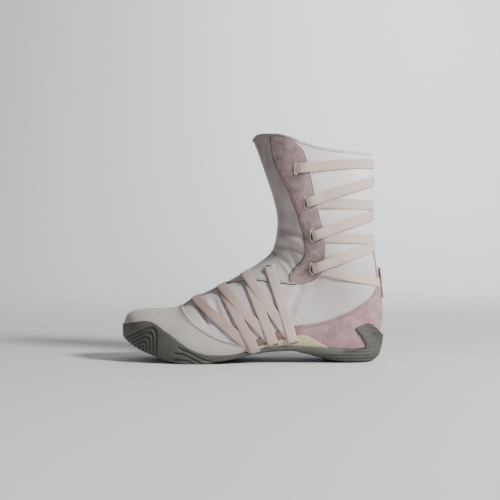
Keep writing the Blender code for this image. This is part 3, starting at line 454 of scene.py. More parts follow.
# How far the knit swells over the tendon above the heel.
BACK_SWELL = 0.0010

upper_rows = rows_apart(0, LAST_ROW, 0.0016)
upper_turns = np.linspace(-1, 1, 161)
row, around = np.meshgrid(upper_rows, upper_turns, indexing="ij")
swell = BACK_SWELL * np.clip((np.abs(around) - 0.45) * 3, 0, 1) * np.clip((row - 19) / 2, 0, 1)
folded = relief(row, around) + swell * np.clip((LAST_ROW - row) / 1.5, 0, 1)
outside = lifted(row, around, folded)
inside = lifted(row, around, np.minimum(folded, 0.0) - WALL)
closed = int(np.searchsorted(upper_rows, CLOSED_ROW))
joined = {"pole": True, "seam_from": closed}
upper = between(
    "upper_knit", outside, inside, [KNIT, LINING], cloth_map(outside), two_tone=True, **joined
)
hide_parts("upper")


# Outlines of the panels, seen from the side, in shares of LENGTH and HEIGHT. Leather and
# suede are cut flat, laid on the knit and stitched round their edges; each panel is a sheet
# whose cut edges roll down to the knit, pressed in a little along the stitches.
SOLE_TOP_EDGE = [
    (0.000, 0.161), (0.036, 0.170), (0.076, 0.181), (0.102, 0.184), (0.128, 0.179), (0.150, 0.165),
    (0.172, 0.146), (0.204, 0.122), (0.240, 0.090), (0.275, 0.063), (0.310, 0.046), (0.345, 0.038),
    (0.415, 0.036), (0.450, 0.037), (0.480, 0.042), (0.510, 0.050), (0.550, 0.060), (0.590, 0.066),
    (0.642, 0.063), (0.720, 0.052), (0.800, 0.046), (0.832, 0.049), (0.869, 0.055), (0.900, 0.060),
]
HEEL_HOOK = [
    (0.918, 0.064), (0.926, 0.083), (0.921, 0.101), (0.907, 0.120), (0.879, 0.140), (0.892, 0.158),
    (0.926, 0.169), (0.947, 0.167), (0.962, 0.152), (0.979, 0.131), (1.000, 0.112),
]
PLATE_TOP_EDGE = [
    (0.415, 0.036), (0.435, 0.043), (0.487, 0.064), (0.531, 0.083), (0.565, 0.094), (0.600, 0.105),
    (0.635, 0.114), (0.663, 0.122), (0.681, 0.126), (0.707, 0.117), (0.746, 0.093), (0.776, 0.074),
    (0.806, 0.055), (0.830, 0.048),
]
CAP_EDGE = [
    (0.222, 0.262), (0.238, 0.237), (0.258, 0.206), (0.290, 0.169), (0.326, 0.141), (0.364, 0.118),
    (0.403, 0.100), (0.455, 0.086),
]
INSTEP_EDGE = [
    (0.238, 0.253), (0.270, 0.275), (0.310, 0.294), (0.350, 0.310), (0.400, 0.338), (0.440, 0.350),
    (0.500, 0.356), (0.570, 0.350), (0.626, 0.342), (0.668, 0.338),
]
INSTEP_TOP_EDGE = [
    (0.560, 0.500), (0.585, 0.480), (0.620, 0.458), (0.648, 0.432),
]
ANKLE_SEAM = [
    (0.556, 0.506), (0.584, 0.468), (0.612, 0.424), (0.634, 0.380), (0.648, 0.340),
]
FRONT_SEAM = [
    (0.570, 0.970), (0.573, 0.935), (0.584, 0.866), (0.607, 0.814), (0.630, 0.758), (0.652, 0.690),
    (0.675, 0.610), (0.690, 0.545), (0.696, 0.490), (0.688, 0.450), (0.665, 0.420),
]
EYESTAY_FOOT = [
    (0.648, 0.395), (0.637, 0.372), (0.641, 0.350), (0.665, 0.343), (0.700, 0.348), (0.735, 0.362),
    (0.757, 0.388),
]
EYESTAY_BACK_EDGE = [
    (0.768, 0.445), (0.768, 0.510), (0.764, 0.560), (0.750, 0.630), (0.737, 0.690), (0.727, 0.750),
    (0.716, 0.812), (0.704, 0.868), (0.690, 0.915), (0.665, 0.948), (0.625, 0.975),
]
COUNTER_TOP_EDGE = [
    (0.500, 0.100), (0.560, 0.128), (0.620, 0.152), (0.670, 0.166), (0.720, 0.172), (0.770, 0.185),
    (0.820, 0.206), (0.865, 0.228), (0.905, 0.256), (0.940, 0.292), (0.956, 0.330), (0.958, 0.400),
    (0.950, 0.480),
]
# The gap below a panel, and the thicknesses of leather and suede.
GAP = 0.0003
LEATHER = 0.0012
SUEDE = 0.0013
# Rounding of a cut edge, and where and how wide a panel is pressed in by its stitches.
CUT_ROLL = 0.0009
PRESSED_AT = 0.0024
PRESSED_WIDTH = 0.0008
SIDES = ((-1, "outer"), (1, "inner"))


def first_crossing(values, places):
    """Along each row of values, the place where they first turn positive, by straight-line
    interpolation, or the last place if they never do."""
    positive = values > 0
    index = np.where(positive.any(1), positive.argmax(1), values.shape[1] - 1)
    before = np.maximum(index - 1, 0)
    here = np.arange(len(values))
    low, high = values[here, before], values[here, index]
    share = np.where((low < 0) & (high > 0), -low / np.maximum(high - low, 1e-12), 1.0)
    return places[before] + (places[index] - places[before]) * share


def below(line):
    """How far a side-view place lies under a line that runs lengthwise."""
    line = line[np.argsort(line[:, 0])]
    return lambda place: np.interp(place[..., 0], line[:, 0], line[:, 1]) - place[..., 2]


def behind(line):
    """How far a side-view place lies behind a line that runs upwards."""
    line = line[np.argsort(line[:, 1])]
    return lambda place: place[..., 0] - np.interp(place[..., 2], line[:, 1], line[:, 0])


def edge_turns(rows, side, past, start=0.0, end=1.0):
    """For each row, the turn at which the surface first goes past a line."""
    turns = np.linspace(start, end, 300)
    place = skin(rows[:, None], side * turns[None])
    return first_crossing(past(place), turns)


def edge_rows(turns, low, high, past):
    """For each turn, which may depend on the row, the row at which the surface first goes
    past a line."""
    trial = np.linspace(low, high, 400)
    around = turns(trial) if callable(turns) else turns[:, None] + 0 * trial
    return first_crossing(past(skin(trial[None] + 0 * around, around)), trial)


def spread(count, rim):
    """Places from 0 to 1, with three close together at each end for a rolled edge."""
    ends = np.array([0.0, 0.25, 0.6, 1.0]) * rim
    return np.concatenate([ends, np.linspace(rim, 1 - rim, count)[1:-1], 1 - ends[::-1]])


def spread_start(count, rim):
    """Places from 0 to 1, with three close together at the start only."""
    places = spread(count, rim)[:-3]
    return places / places[-1]


def edge_distances(row, around, cut):
    """Distance of each place of a grid from the nearest of its cut edges. cut names the
    edges: t toe end, h heel end, l first column, r last column."""
    place = skin(row, around)
    along, across = lengths(place, 0), lengths(place, 1)
    found = [np.full(row.shape, 1.0)]
    if "t" in cut:
        found.append(along)
    if "h" in cut:
        found.append(along[-1:] - along)
    if "l" in cut:
        found.append(across)
    if "r" in cut:
        found.append(across[:, -1:] - across)
    return np.minimum.reduce(found)


def quarter_round(away, radius):
    """A quarter circle's height, 0 to 1, at a distance from the edge it rises from."""
    return np.sqrt(np.clip(1 - (1 - np.clip(away / radius, 0, 1)) ** 2, 0, 1))


def panel(name, row, around, thick, cut, finish, **joined):
    """A panel on the knit. Its top rises from the knit as a quarter circle within 0.9 mm of
    a cut edge, and dips by a fifth of its thickness along the stitch line."""
    away = edge_distances(row, around, cut)
    dip = 0.2 * thick * np.exp(-(((away - PRESSED_AT) / PRESSED_WIDTH) ** 2))
    folded = relief(row, around)
    rise = GAP + thick * (0.25 + 0.75 * quarter_round(away, CUT_ROLL)) - dip
    top, under = lifted(row, around, folded + rise), lifted(row, around, folded + GAP * 0.5)
    return between(name, top, under, [finish], cloth_map(top), **joined)


def end_caps(first, last):
    """The faces that close both ends of a six-sided tube, two to an end."""
    halves = ([0, 1, 2, 3], [0, 3, 4, 5])
    return [first[..., half[::-1]] for half in halves] + [last[..., half] for half in halves]


STITCH_PITCH = 0.0028
STITCH_LENGTH = 0.0021
THREAD = 0.00036


def stitches(name, row, around, lift, finish):
    """A row of stitches along a path of rows and turns. Each is a short round thread bowed
    up in the middle and sunk at both ends: a circle carried along an arc."""
    path = skin(row, around)
    run = lengths(path, 0)
    places = np.arange(STITCH_PITCH / 2, run[-1], STITCH_PITCH)
    row, around = np.interp(places, run, row), np.interp(places, run, around)
    fold = relief(row, around)
    centre = lifted(row, around, fold + lift)
    out = directions(row, around)[2]
    ahead, back = (
        np.stack([np.interp(places + step, run, path[:, axis]) for axis in range(3)], -1)
        for step in (0.0005, -0.0005)
    )
    way = unit(ahead - back)
    side = unit(np.cross(out, way))
    out = np.cross(way, side)
    t = np.array([-1.0, -0.75, 0.0, 0.75, 1.0])[None, :, None, None]
    angle = np.linspace(0, 2 * math.pi, 7)[:-1][None, None, :, None]
    size = THREAD * np.where(np.abs(t) > 0.9, 0.25, 1.0)
    bow = THREAD * (0.9 - 1.7 * t**2)
    way, side, out, centre = (v[:, None, None] for v in (way, side, out, centre))
    circle = side * np.cos(angle) * size + out * (bow + np.sin(angle) * size)
    ring = centre + way * t * STITCH_LENGTH / 2 + circle
    number = np.arange(len(places) * 5 * 6).reshape(-1, 5, 6)
    turned = np.roll(number, -1, 2)
    sides = np.stack([number[:, :-1], turned[:, :-1], turned[:, 1:], number[:, 1:]], -1)
    faces = np.concatenate([sides.reshape(-1, 4), *end_caps(number[:, 0], number[:, -1])])
    return piece(name, ring.reshape(-1, 3), faces, [finish])


def cord(name, row, around, lift, finish, radius):
    """A cord laid along a path of rows and turns: a circle carried along it, with its ends
    drawn in to points."""
    path = lifted(row, around, relief(row, around) + lift)
    out = directions(row, around)[2]
    side = unit(np.cross(out, unit(np.gradient(path, axis=0))))
    angle = np.linspace(0, 2 * math.pi, 7)[None, :, None]
    size = np.full(len(path), radius)
    size[[0, -1]] = 0.00002
    circle = side[:, None] * np.cos(angle) + out[:, None] * np.sin(angle)
    ring = path[:, None] + size[:, None, None] * circle
    number = np.arange(len(path) * 7).reshape(-1, 7)
    sides = grid_faces(*number.shape, seam_from=0)
    faces = np.concatenate([sides, *end_caps(number[-1:], number[:1])])
    return piece(name, ring.reshape(-1, 3), faces, [finish])


def inset_line(row, around, edge, inset):
    """The line on a grid's surface that keeps a given distance from one edge: t, h, l or r."""
    if edge in "th":
        row, around = row.T, around.T
    if edge in "rh":
        row, around = row[:, ::-1], around[:, ::-1]
    away = lengths(skin(row, around), 1)
    return tuple(
        np.array([np.interp(inset, distance, line) for distance, line in zip(away, grid)])
        for grid in (row, around)
    )


def pebbled(leather):
    """Pebble grain in the relief of a leather."""
    cells = leather.add("TexVoronoi", {"Vector": leather.places.outputs["Object"], "Scale": 1100})
    grain = leather.math("ADD", cells.outputs["Distance"], leather.noise(300, 4))
    leather.bump(grain, 0.00022, 0.4)


def leather_finish(name, light, dark):
    """Smooth-grained leather: cloudy tone, fine dirt and pebble grain."""
    leather = Finish(name, light, 0.5, Specular_IOR_Level=0.35)
    cloud = leather.noise(26, 5)
    tone = leather.ramp(cloud, (0.3, dark), (0.7, light))
    speck = leather.ramp(leather.noise(420, 4), (0.3, (0.9, 0.89, 0.88)), (0.6, (1, 1, 1)))
    leather.colour(leather.mix(1.0, tone, speck, "MULTIPLY"))
    pebbled(leather)
    return leather.material


def thread_finish(name, colour):
    """Twisted thread in one colour, slightly furry."""
    thread = Finish(name, colour, 0.7, Sheen_Weight=0.3)
    thread.bump(thread.noise(3000, 1), 0.0001, 0.4)
    return thread.material


# Toe cap: one piece of off-white leather, lasted over the toe and tucked into the sole. A
# double row of stitches holds its rear edge to the knit.
CAP_LEATHER = leather_finish("cap_leather", (0.57, 0.535, 0.485), (0.46, 0.425, 0.38))
CAP_THREAD = thread_finish("cap_thread", (0.24, 0.205, 0.185))

cap_line = side_view([*CAP_EDGE, (0.500, 0.070), (0.540, 0.040)], 8)
cap_turns = np.linspace(-0.93, 0.93, 150)
cap_end = edge_rows(cap_turns, 3.0, 13.0, behind(cap_line))
around = np.tile(cap_turns, (110, 1))
row = spread(104, 0.01)[:110, None] * cap_end
toe_cap = panel("toe_cap_leather", row, around, LEATHER, "h", CAP_LEATHER, pole=True)
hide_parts("toe_cap")
for number, inset in enumerate((0.0016, 0.0038)):
    path = inset_line(row, around, "h", inset)
    stitches(f"cap_stitches_{number}", *path, GAP + LEATHER, CAP_THREAD)


# Instep panel: off-white leather over the knit's front, free along its lower edge, where
# the elastic comes out from under it. It is stitched to the cap and at the ankle.
PANEL_LEATHER = leather_finish("panel_leather", (0.575, 0.535, 0.50), (0.47, 0.43, 0.40))

instep_lower = side_view(INSTEP_EDGE, 8)
instep_rear = side_view([*INSTEP_TOP_EDGE, (0.668, 0.412), (0.674, 0.385), (0.664, 0.345)], 8)
ankle_seam = side_view(ANKLE_SEAM, 8)
trial = np.linspace(6.5, 19, 240)
limits = {s: edge_turns(trial, s, below(instep_lower), 0.0, 0.7) for s in (-1, 1)}
v = np.concatenate([-spread(34, 0.03)[::-1], spread(34, 0.03)[1:]])


def instep_turn_at(rows, share):
    """Turn of the place that is a share of the way from the ridge to the lower edge."""
    reach = {s: np.maximum(np.interp(rows, trial, limits[s]), 0.015) for s in (-1, 1)}
    return share[:, None] * np.where(share[:, None] < 0, reach[-1], reach[1])


def instep_turn(rows):
    """Turns of the panel's columns at each row."""
    return instep_turn_at(rows, v)


def instep_grid(front, rear, u):
    """Rows and turns of a panel between two lines that are given by a row for each column."""
    row = front + (rear - front) * u[:, None]
    return row, np.array([np.diagonal(instep_turn(line)) for line in row])


front = edge_rows(instep_turn, 6.6, 18.5, behind(cap_line + (GAP, 0)))
rear = edge_rows(instep_turn, 8.0, 18.9, behind(instep_rear))
row, around = instep_grid(front, rear, spread(70, 0.012))
instep = panel("instep_leather", row, around, LEATHER, "lrh", PANEL_LEATHER)
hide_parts("instep_panel")
for edge, (_, word) in zip("lr", SIDES):
    path = inset_line(row, around, edge, 0.0020)
    stitches(f"instep_stitches_{word}", *path, GAP + LEATHER, CAP_THREAD)
EDGE_SHADOW = thread_finish("edge_dark", (0.085, 0.068, 0.062))
# Painted shadow: a dark cord under the panel's free lower edge stands for the shadow in the gap
# beneath it.
for edge, (_, word) in zip("lr", SIDES):
    path = inset_line(row, around, edge, 0.0)
    cord(f"instep_edge_{word}", *path, 0.0001, EDGE_SHADOW, 0.0007)
shares = np.linspace(-0.97, 0.97, 160)
for number, shift in enumerate((-0.0011, 0.0011)):
    past = behind(ankle_seam + (shift, 0))
    crossing = edge_rows(lambda rows: instep_turn_at(rows, shares), 8.0, 18.9, past)
    path = (crossing, np.diagonal(instep_turn_at(crossing, shares)))
    stitches(f"ankle_stitches_{number}", *path, GAP + LEATHER, CAP_THREAD)


# Shaft front: smooth taupe leather from the ankle to the collar, creased at the ankle and
# softly pleated below the collar. Its sides run under the suede.
def front_finish():
    """Smooth leather, browner and darker towards the collar, with streaks down its folds."""
    front = Finish("front_leather", (0.36, 0.31, 0.29), 0.42, Specular_IOR_Level=0.4)
    up = front.fade(front.coordinate(2), 0.105, 0.215)
    stretched = front.add("Mapping", {0: front.places.outputs["Object"]})
    stretched.inputs["Scale"].default_value = (1.0, 1.0, 0.35)
    inputs = {"Vector": stretched.outputs[0], "Scale": 55.0, "Detail": 5.0}
    cloud = front.add("TexNoise", inputs).outputs["Fac"]
    low = front.ramp(cloud, (0.3, (0.42, 0.35, 0.33)), (0.7, (0.62, 0.54, 0.515)))
    high = front.ramp(cloud, (0.3, (0.20, 0.165, 0.155)), (0.7, (0.36, 0.31, 0.285)))
    front.colour(front.mix(up, low, high))
    pebbled(front)
    return front.material


FRONT_LEATHER = front_finish()
SEAM_THREAD = thread_finish("seam_thread", (0.20, 0.15, 0.14))

seam_line = side_view([*FRONT_SEAM, (0.640, 0.395)], 8)
trial = np.linspace(14.0, LAST_ROW, 300)
limits = {s: edge_turns(trial, s, behind(seam_line), 0.0, 0.6) for s in (-1, 1)}
v = np.concatenate([-spread(34, 0.02)[::-1], spread(34, 0.02)[1:]])
under_ankle = below(side_view([*INSTEP_TOP_EDGE, (0.665, 0.415)], 8))
front = edge_rows(instep_turn, 14.0, 22.0, lambda place: -under_ankle(place))
row, around = instep_grid(front, float(LAST_ROW), spread(110, 0.008))
shaft_front = panel("shaft_front_leather", row, around, LEATHER, "tlr", FRONT_LEATHER)
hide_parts("shaft_front")


# Eyestays: two strips of dusty pink suede beside the shaft's front, rubbed darker in
# places, each with four slots for the elastic and a row of stitches along its front.
def suede_finish(name, light, dark, rose, strap_shade=None):
    """Suede: short nap in the relief, blotched tone and rosy patches; the last colour, if
    given, is painted shade on its lower front, where the elastic over it shades it."""
    suede = Finish(name, light, 0.95, Sheen_Weight=0.25, Sheen_Roughness=0.4)
    black, white, grey = (0, 0, 0), (1, 1, 1), (0.84, 0.83, 0.83)
    cloud = suede.ramp(suede.noise(75, 8, roughness=0.65), (0.36, dark), (0.60, light))
    patch = suede.ramp(suede.noise(40, 5, roughness=0.6), (0.50, black), (0.66, white))
    tinted = suede.mix(patch, cloud, rose)
    if strap_shade:
        # Painted shade: the lower front is painted darker where the elastic shades it.
        tinted = suede.mix(suede.fade(suede.coordinate(0), 0.052, 0.036), tinted, strap_shade)
    nap = suede.noise(1300, 3)
    blotch = suede.ramp(suede.noise(260, 4, roughness=0.6), (0.35, grey), (0.6, white))
    speck = suede.ramp(nap, (0.3, grey), (0.7, white))
    shaded = suede.mix(1.0, tinted, blotch, "MULTIPLY")
    suede.colour(suede.mix(0.8, shaded, speck, "MULTIPLY"))
    suede.bump(nap, 0.0004, 0.5)
    return suede.material


STAY_SUEDE = suede_finish(
    "stay_suede", (0.45, 0.34, 0.318), (0.255, 0.186, 0.175), (0.45, 0.28, 0.285)
)
PALE_THREAD = thread_finish("pale_thread", (0.62, 0.57, 0.54))


def inside_outline(outline, place):
    """Whether side-view places lie inside a closed outline, by counting crossings."""
    x, z = place[..., 0], place[..., 2]
    odd = np.zeros(x.shape, bool)
    for (x0, z0), (x1, z1) in zip(outline, np.roll(outline, -1, 0)):
        if z0 != z1:
            odd ^= ((z0 > z) != (z1 > z)) & (x < x0 + (x1 - x0) * (z - z0) / (z1 - z0))
    return odd


def outline_turns(rows, side, outline):
    """For each row, the turns at which the surface enters and leaves an outline."""
    turns = np.linspace(0.0, 1.0, 700)
    within = inside_outline(outline, skin(rows[:, None], side * turns[None]))
    first = turns[within.argmax(1)]
    last = turns[len(turns) - 1 - within[:, ::-1].argmax(1)]
    return first, last, within.any(1)


seam, back_edge = side_view(FRONT_SEAM, 6), side_view(EYESTAY_BACK_EDGE, 6)
foot = side_view([FRONT_SEAM[-1], *EYESTAY_FOOT, EYESTAY_BACK_EDGE[0]], 6)
over = [(line[0], HEIGHT * 1.2) for line in (seam[0], back_edge[-1])]
stay_outline = np.array([*over, *back_edge[::-1], *foot[::-1][1:-1], *seam[::-1]])
# The strips are a little thicker than the other suede.
STAY = SUEDE * 1.25


def smoothed(values, reach=2):
    """A running mean, with the ends kept."""
    padded = np.concatenate([[values[0]] * reach, values, [values[-1]] * reach])
    return np.convolve(padded, np.ones(2 * reach + 1) / (2 * reach + 1), "valid")


for side, word in SIDES:
    rows = np.linspace(15, LAST_ROW, 500)
    low = rows[outline_turns(rows, side, stay_outline)[2].argmax()]
    rows = low + (LAST_ROW - low) * np.linspace(0.004, 1, 190) ** 1.25
    first, last, _ = outline_turns(rows, side, stay_outline)
    first, last = smoothed(first)[:, None], smoothed(last)[:, None]
    around = side * (first + (last - first) * spread(34, 0.03))
    row = rows[:, None] + 0 * around
    if side < 0:
        row, around = row[:, ::-1], around[:, ::-1]
    stay = panel(f"eyestay_suede_{word}", row, around, STAY, "tlr", STAY_SUEDE)
    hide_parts(f"eyestay_{word}")
    front_edge, rear_edge = "rl" if side < 0 else "lr"
    path = inset_line(row, around, front_edge, 0.0017)
    stitches(f"eyestay_stitches_{word}", *path, GAP + SUEDE * 1.2, SEAM_THREAD)
    # Painted shadow: a dark cord along the suede's front edge stands for the shadow that edge
    # casts on the leather.
    path = inset_line(row, around, front_edge, 0.0)
    cord(f"eyestay_seam_{word}", *path, GAP + LEATHER, EDGE_SHADOW, 0.0006)
    path = inset_line(row, around, rear_edge, 0.0003)
    path = tuple(line[int(len(line) * 0.72) :] for line in path)
    cord(f"eyestay_binding_{word}", *path, GAP + SUEDE * 0.9, PALE_THREAD, 0.0006)


# Heel counter: suede in a rosier pink round the heel, tucked into the sole, with a strip
# up the back seam to the pull tab. Two rows of stitches follow its upper edge.
COUNTER_SUEDE = suede_finish(
    "counter_suede",
    (0.48, 0.325, 0.325),
    (0.34, 0.20, 0.203),
    (0.445, 0.215, 0.243),
    # The last colour is painted shade, for the lower front under the elastic.
    (0.235, 0.145, 0.13),
)
COUNTER_THREAD = thread_finish("counter_thread", (0.34, 0.24, 0.235))

counter_line = side_view(COUNTER_TOP_EDGE, 8)
rows = rows_apart(10.9, 23.9, 0.0011)
turns = np.linspace(0.05, 1, 900)
lower_half = counter_line[: 8 * 8 + 1]
strip = counter_line[8 * 8 :]


def on_counter(place):
    """Positive where a side-view place lies under the counter's edge or behind its strip."""
    under = below(lower_half)(place)
    back = np.where(place[..., 2] > lower_half[-1, 1], behind(strip)(place), -1.0)
    return np.maximum(np.where(place[..., 0] > lower_half[-1, 0] + 0.001, -1.0, under), back)


for (side, word), edge in zip(SIDES, "lr"):
    value = on_counter(skin(rows[:, None], side * turns[None]))
    start = smoothed(first_crossing(value, turns))[:, None]
    around = side * (start + (1 - start) * spread_start(40, 0.012))[:, ::-side]
    row = rows[:, None] + 0 * around
    half = panel(f"heel_counter_suede_{word}", row, around, SUEDE, "h" + edge, COUNTER_SUEDE)
    if word == "outer":
        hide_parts("heel_counter")
    for number, inset in enumerate((0.0017, 0.0036)):
        path = inset_line(row, around, edge, inset)
        made = stitches(f"counter_stitches_{word}_{number}", *path, GAP + SUEDE, COUNTER_THREAD)


# Pull tab: a strap of the same suede on the heel seam, lying on it at its lower end and
# standing further off it towards its free top end.
TAB_WIDTH = 0.0130
TAB_THICKNESS = 0.0017
TAB_SWELL = 0.0020
TAB_ROWS = (21.05, 22.9)


def squared(wave, power):
    """A wave made squarer: its size to a power below 1, its sign kept."""
    return np.sign(wave) * np.abs(wave) ** power


way = np.linspace(0, 1, 60)
lift = SUEDE + TAB_SWELL * smoothed(np.interp(way, (0, 0.35, 0.6, 1), (0, 0.1, 0.5, 1)))
middle = lifted(np.interp(way, (0, 1), TAB_ROWS), 1.0, lift)
slope = unit(np.gradient(middle, axis=0))
out = np.cross((0.0, 1.0, 0.0), slope)
out *= np.sign(out[:, :1])
angle = np.linspace(0, 2 * math.pi, 33)
flat = squared(np.cos(angle), 0.35)[None, :, None] * TAB_WIDTH / 2
deep = (squared(np.sin(angle), 0.6) + 1)[None, :, None] * TAB_THICKNESS / 2
size = np.sqrt(np.clip(1 - np.abs(2 * way - 1) ** 30, 0.02, 1))[:, None, None]
ring = (flat * np.array([0, 1.0, 0]) + deep * out[:, None]) * size
centre = np.broadcast_to(middle[:, None], ring.shape)
rings = np.concatenate([centre[:1], middle[:, None] + ring, centre[-1:]])
rings[[0, -1]] += out[[0, -1], None] * TAB_THICKNESS * 0.07
rings[:, -1] = rings[:, 0]
faces = grid_faces(*rings.shape[:2], pole=True, seam_from=0)
tab = piece("pull_tab_suede", rings.reshape(-1, 3), faces, [COUNTER_SUEDE])
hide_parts("pull_tab")


# Sole: a rubber cup in dark olive grey that climbs the toe and hooks up the heel. Fine
# ridges are moulded in its side and run on under the foot.
SOLE_GAP = 0.0008
SOLE_RIM = 0.0029
SOLE_SIDE = 0.0034
WALL_TOP = 0.19
WALL_FOOT = 0.90
UNDER_ROUNDING = 0.8
SOLE_END_ROW = 19.03
# Underside of the outsole, below each of the first rows: shares of LENGTH and HEIGHT,
# and the power of its rounded edge. What dips below the floor is planed off flat.
GROUND = [
    (0.0005, 0.130, 2.0), (0.005, 0.097, 2.1), (0.024, 0.080, 2.2), (0.055, 0.060, 2.4),
    (0.100, 0.037, 2.7), (0.146, 0.019, 3.0), (0.196, 0.002, 3.4), (0.249, -0.009, 3.8),
    (0.311, -0.010, 4.0), (0.376, 0.002, 3.8), (0.444, 0.019, 3.6), (0.513, 0.036, 3.4),
    (0.586, 0.046, 3.4), (0.662, 0.043, 3.4), (0.748, 0.018, 3.4), (0.836, -0.007, 3.4),
    (0.921, -0.009, 3.2), (0.972, 0.016, 2.5), (0.991, 0.056, 2.2), (0.9985, 0.110, 2.1),
    (0.9985, 0.180, 2.1),
]


def ground_at(row):
    """Each column of GROUND at fractional rows, by Catmull-Rom interpolation."""
    table = np.array(GROUND)
    ends = np.vstack([2 * table[0] - table[1], table, 2 * table[-1] - table[-2]])
    return catmull_rom(ends, row)


def sole_outside(row, sign, turn, under):
    """A point of the sole's outer face: turn down the last's side as far as WALL_FOOT, then
    a quarter superellipse, its share under from 0 to 1, to the GROUND line."""
    ground = ground_at(row)
    wall = np.clip((turn - WALL_TOP) / (WALL_FOOT - WALL_TOP), 0, 1)
    rim = lifted(row, sign * np.minimum(turn, WALL_FOOT), SOLE_RIM + (SOLE_SIDE - SOLE_RIM) * wall)
    middle_y = section_at(row)["lean"] * BALL_WIDTH
    power = 2 / ground[..., 2]
    inward = np.clip(np.cos(under * math.pi / 2), 0, 1) ** power
    down = np.sin(under * math.pi / 2) ** power
    x = rim[..., 0] + ((ground[..., 0] - 0.5) * LENGTH - rim[..., 0]) * down
    z = rim[..., 2] + (ground[..., 1] * HEIGHT - rim[..., 2]) * down
    y = middle_y + (rim[..., 1] - middle_y) * inward
    return np.stack([x, y, np.maximum(z, 0)], -1)


def ridge_wave(distance, pitch):
    """Rounded ridges with narrow grooves: how deep, 0 to 1, at a distance across them."""
    return np.exp(-(((distance / pitch - np.round(distance / pitch)) * 3.4) ** 2))


GROOVE_DEPTH = 0.0011
# Middles of the nested grooves at the toe and in the hook, in shares; the toe's pitch, first
# groove, last groove and slope; the hook's pitch, as a share of its outermost groove; and
# the lines under the ball, in shares.
TOE_CORNER = (0.087, 0.0625)
TOE_PITCH, TOE_FIRST, TOE_LAST = 0.00345, 0.0020, 0.0178
TOE_SLOPE = math.radians(27)
HEEL_CORNER = (0.928, 0.098)
HEEL_REACH = (0.0190, 0.0158)
HEEL_PITCH = 0.142
BALL_GROOVES = [
    [(0.223, 0.073), (0.247, 0.061), (0.271, 0.05), (0.308, 0.027)]
    + [(0.337, 0.014), (0.365, 0.009), (0.413, 0.01), (0.464, 0.023)],
    [(0.206, 0.047), (0.221, 0.046), (0.247, 0.042), (0.278, 0.024)]
    + [(0.308, 0.006), (0.335, 0.001)],
    [(0.203, 0.019), (0.221, 0.018), (0.259, 0.014), (0.287, 0.002), (0.302, -0.003)],
]


def grooves(place, sole_line):
    """Depth, 0 to 1, of the moulded grooves at places on the sole, from the side view: nested
    arches round the toe's corner, drawn lines under the ball, and rings in the heel's hook
    that run on as level lines below it."""
    x, z = place[..., 0], place[..., 2]
    corner = ((TOE_CORNER[0] - 0.5) * LENGTH, TOE_CORNER[1] * HEIGHT)
    ahead = np.maximum(x - corner[0], 0)
    over = (z - corner[1]) * math.cos(TOE_SLOPE) - (x - corner[0]) * math.sin(TOE_SLOPE)
    reach = (ahead**3 + np.maximum(over, 0) ** 3) ** (1 / 3)
    toe = ridge_wave(reach - TOE_FIRST, TOE_PITCH) * np.clip((TOE_LAST - reach) / 0.001, 0, 1)
    toe *= np.clip(reach / 0.001, 0, 1) * (x < -0.080)
    top = np.interp(x, sole_line[:, 0], sole_line[:, 1])
    drop = top - z
    ball = np.zeros_like(x)
    for line in BALL_GROOVES:
        line = side_view(line, 4)
        away = (z - np.interp(x, line[:, 0], line[:, 1])) / 0.0009
        ends = np.clip((x - line[0, 0]) / 0.003, 0, 1) * np.clip((line[-1, 0] - x) / 0.008, 0, 1)
        ball = np.maximum(ball, np.exp(-(away**2)) * ends)
    hook = ((HEEL_CORNER[0] - 0.5) * LENGTH, HEEL_CORNER[1] * HEIGHT)
    past, above = x - hook[0], z - hook[1]
    lower_left = np.clip(-above / 0.010, 0, 1) * (past < 0)
    level = past / HEEL_REACH[0] * (1 - lower_left)
    ring = np.hypot(level, above / np.where(above > 0, HEEL_REACH[1], hook[1]))
    heel = ridge_wave(ring - 0.10, HEEL_PITCH) * np.clip(ring / 0.08, 0, 1)
    heel *= np.clip((1.02 - ring) / 0.04, 0, 1)
    heel *= np.clip((x - 0.030) / 0.02, 0, 1)
    heel *= np.where(past > -0.026, 1.0, np.clip((drop - 0.0014) / 0.0008, 0, 1))
    return np.maximum.reduce([toe, ball, 0.8 * heel])


def rubber_finish():
    """Matt olive grey rubber, with painted shade in its grooves, whose depth the map's first
    number gives.
    """
    rubber = Finish("sole_rubber", (0.115, 0.117, 0.10), 0.62, Specular_IOR_Level=0.4)
    dust = rubber.noise(60, 6, roughness=0.7)
    tone = rubber.ramp(dust, (0.3, (0.075, 0.074, 0.063)), (0.7, (0.118, 0.116, 0.10)))
    # Painted shade: the grooves are painted darker, down to 0.3 of the rubber's tone.
    dark = rubber.ramp(rubber.coordinate(0, "UV"), (0.15, (1, 1, 1)), (0.9, (0.30, 0.30, 0.29)))
    rubber.colour(rubber.mix(1.0, tone, dark, "MULTIPLY"))
    rubber.bump(rubber.noise(1400, 3), 0.00015, 0.4)
    return rubber.material


sole_line = side_view(SOLE_TOP_EDGE, 8)
hook_line = side_view([SOLE_TOP_EDGE[-1], *HEEL_HOOK], 8)
round_heel = [(LENGTH, hook_line[-1][1]), (LENGTH, -HEIGHT), (hook_line[0][0], -HEIGHT)]
hook_outline = np.vstack([hook_line, round_heel])
rows = np.concatenate([np.linspace(0, 1, 26)[:-1], rows_apart(1.0, SOLE_END_ROW, 0.00095)])
turns = np.linspace(0.0, 0.90, 420)


def sole_start(side):
    """For each row, the turn at which the sole's wall begins under its top edge."""
    row, turn = np.meshgrid(rows, turns, indexing="ij")
    place = sole_outside(row, side, turn, np.zeros_like(row))
    under = np.where(place[..., 0] < hook_line[0][0], below(sole_line)(place), -1.0)
    within = inside_outline(hook_outline, place)
    return first_crossing(np.where(within, 1.0, under), turns)


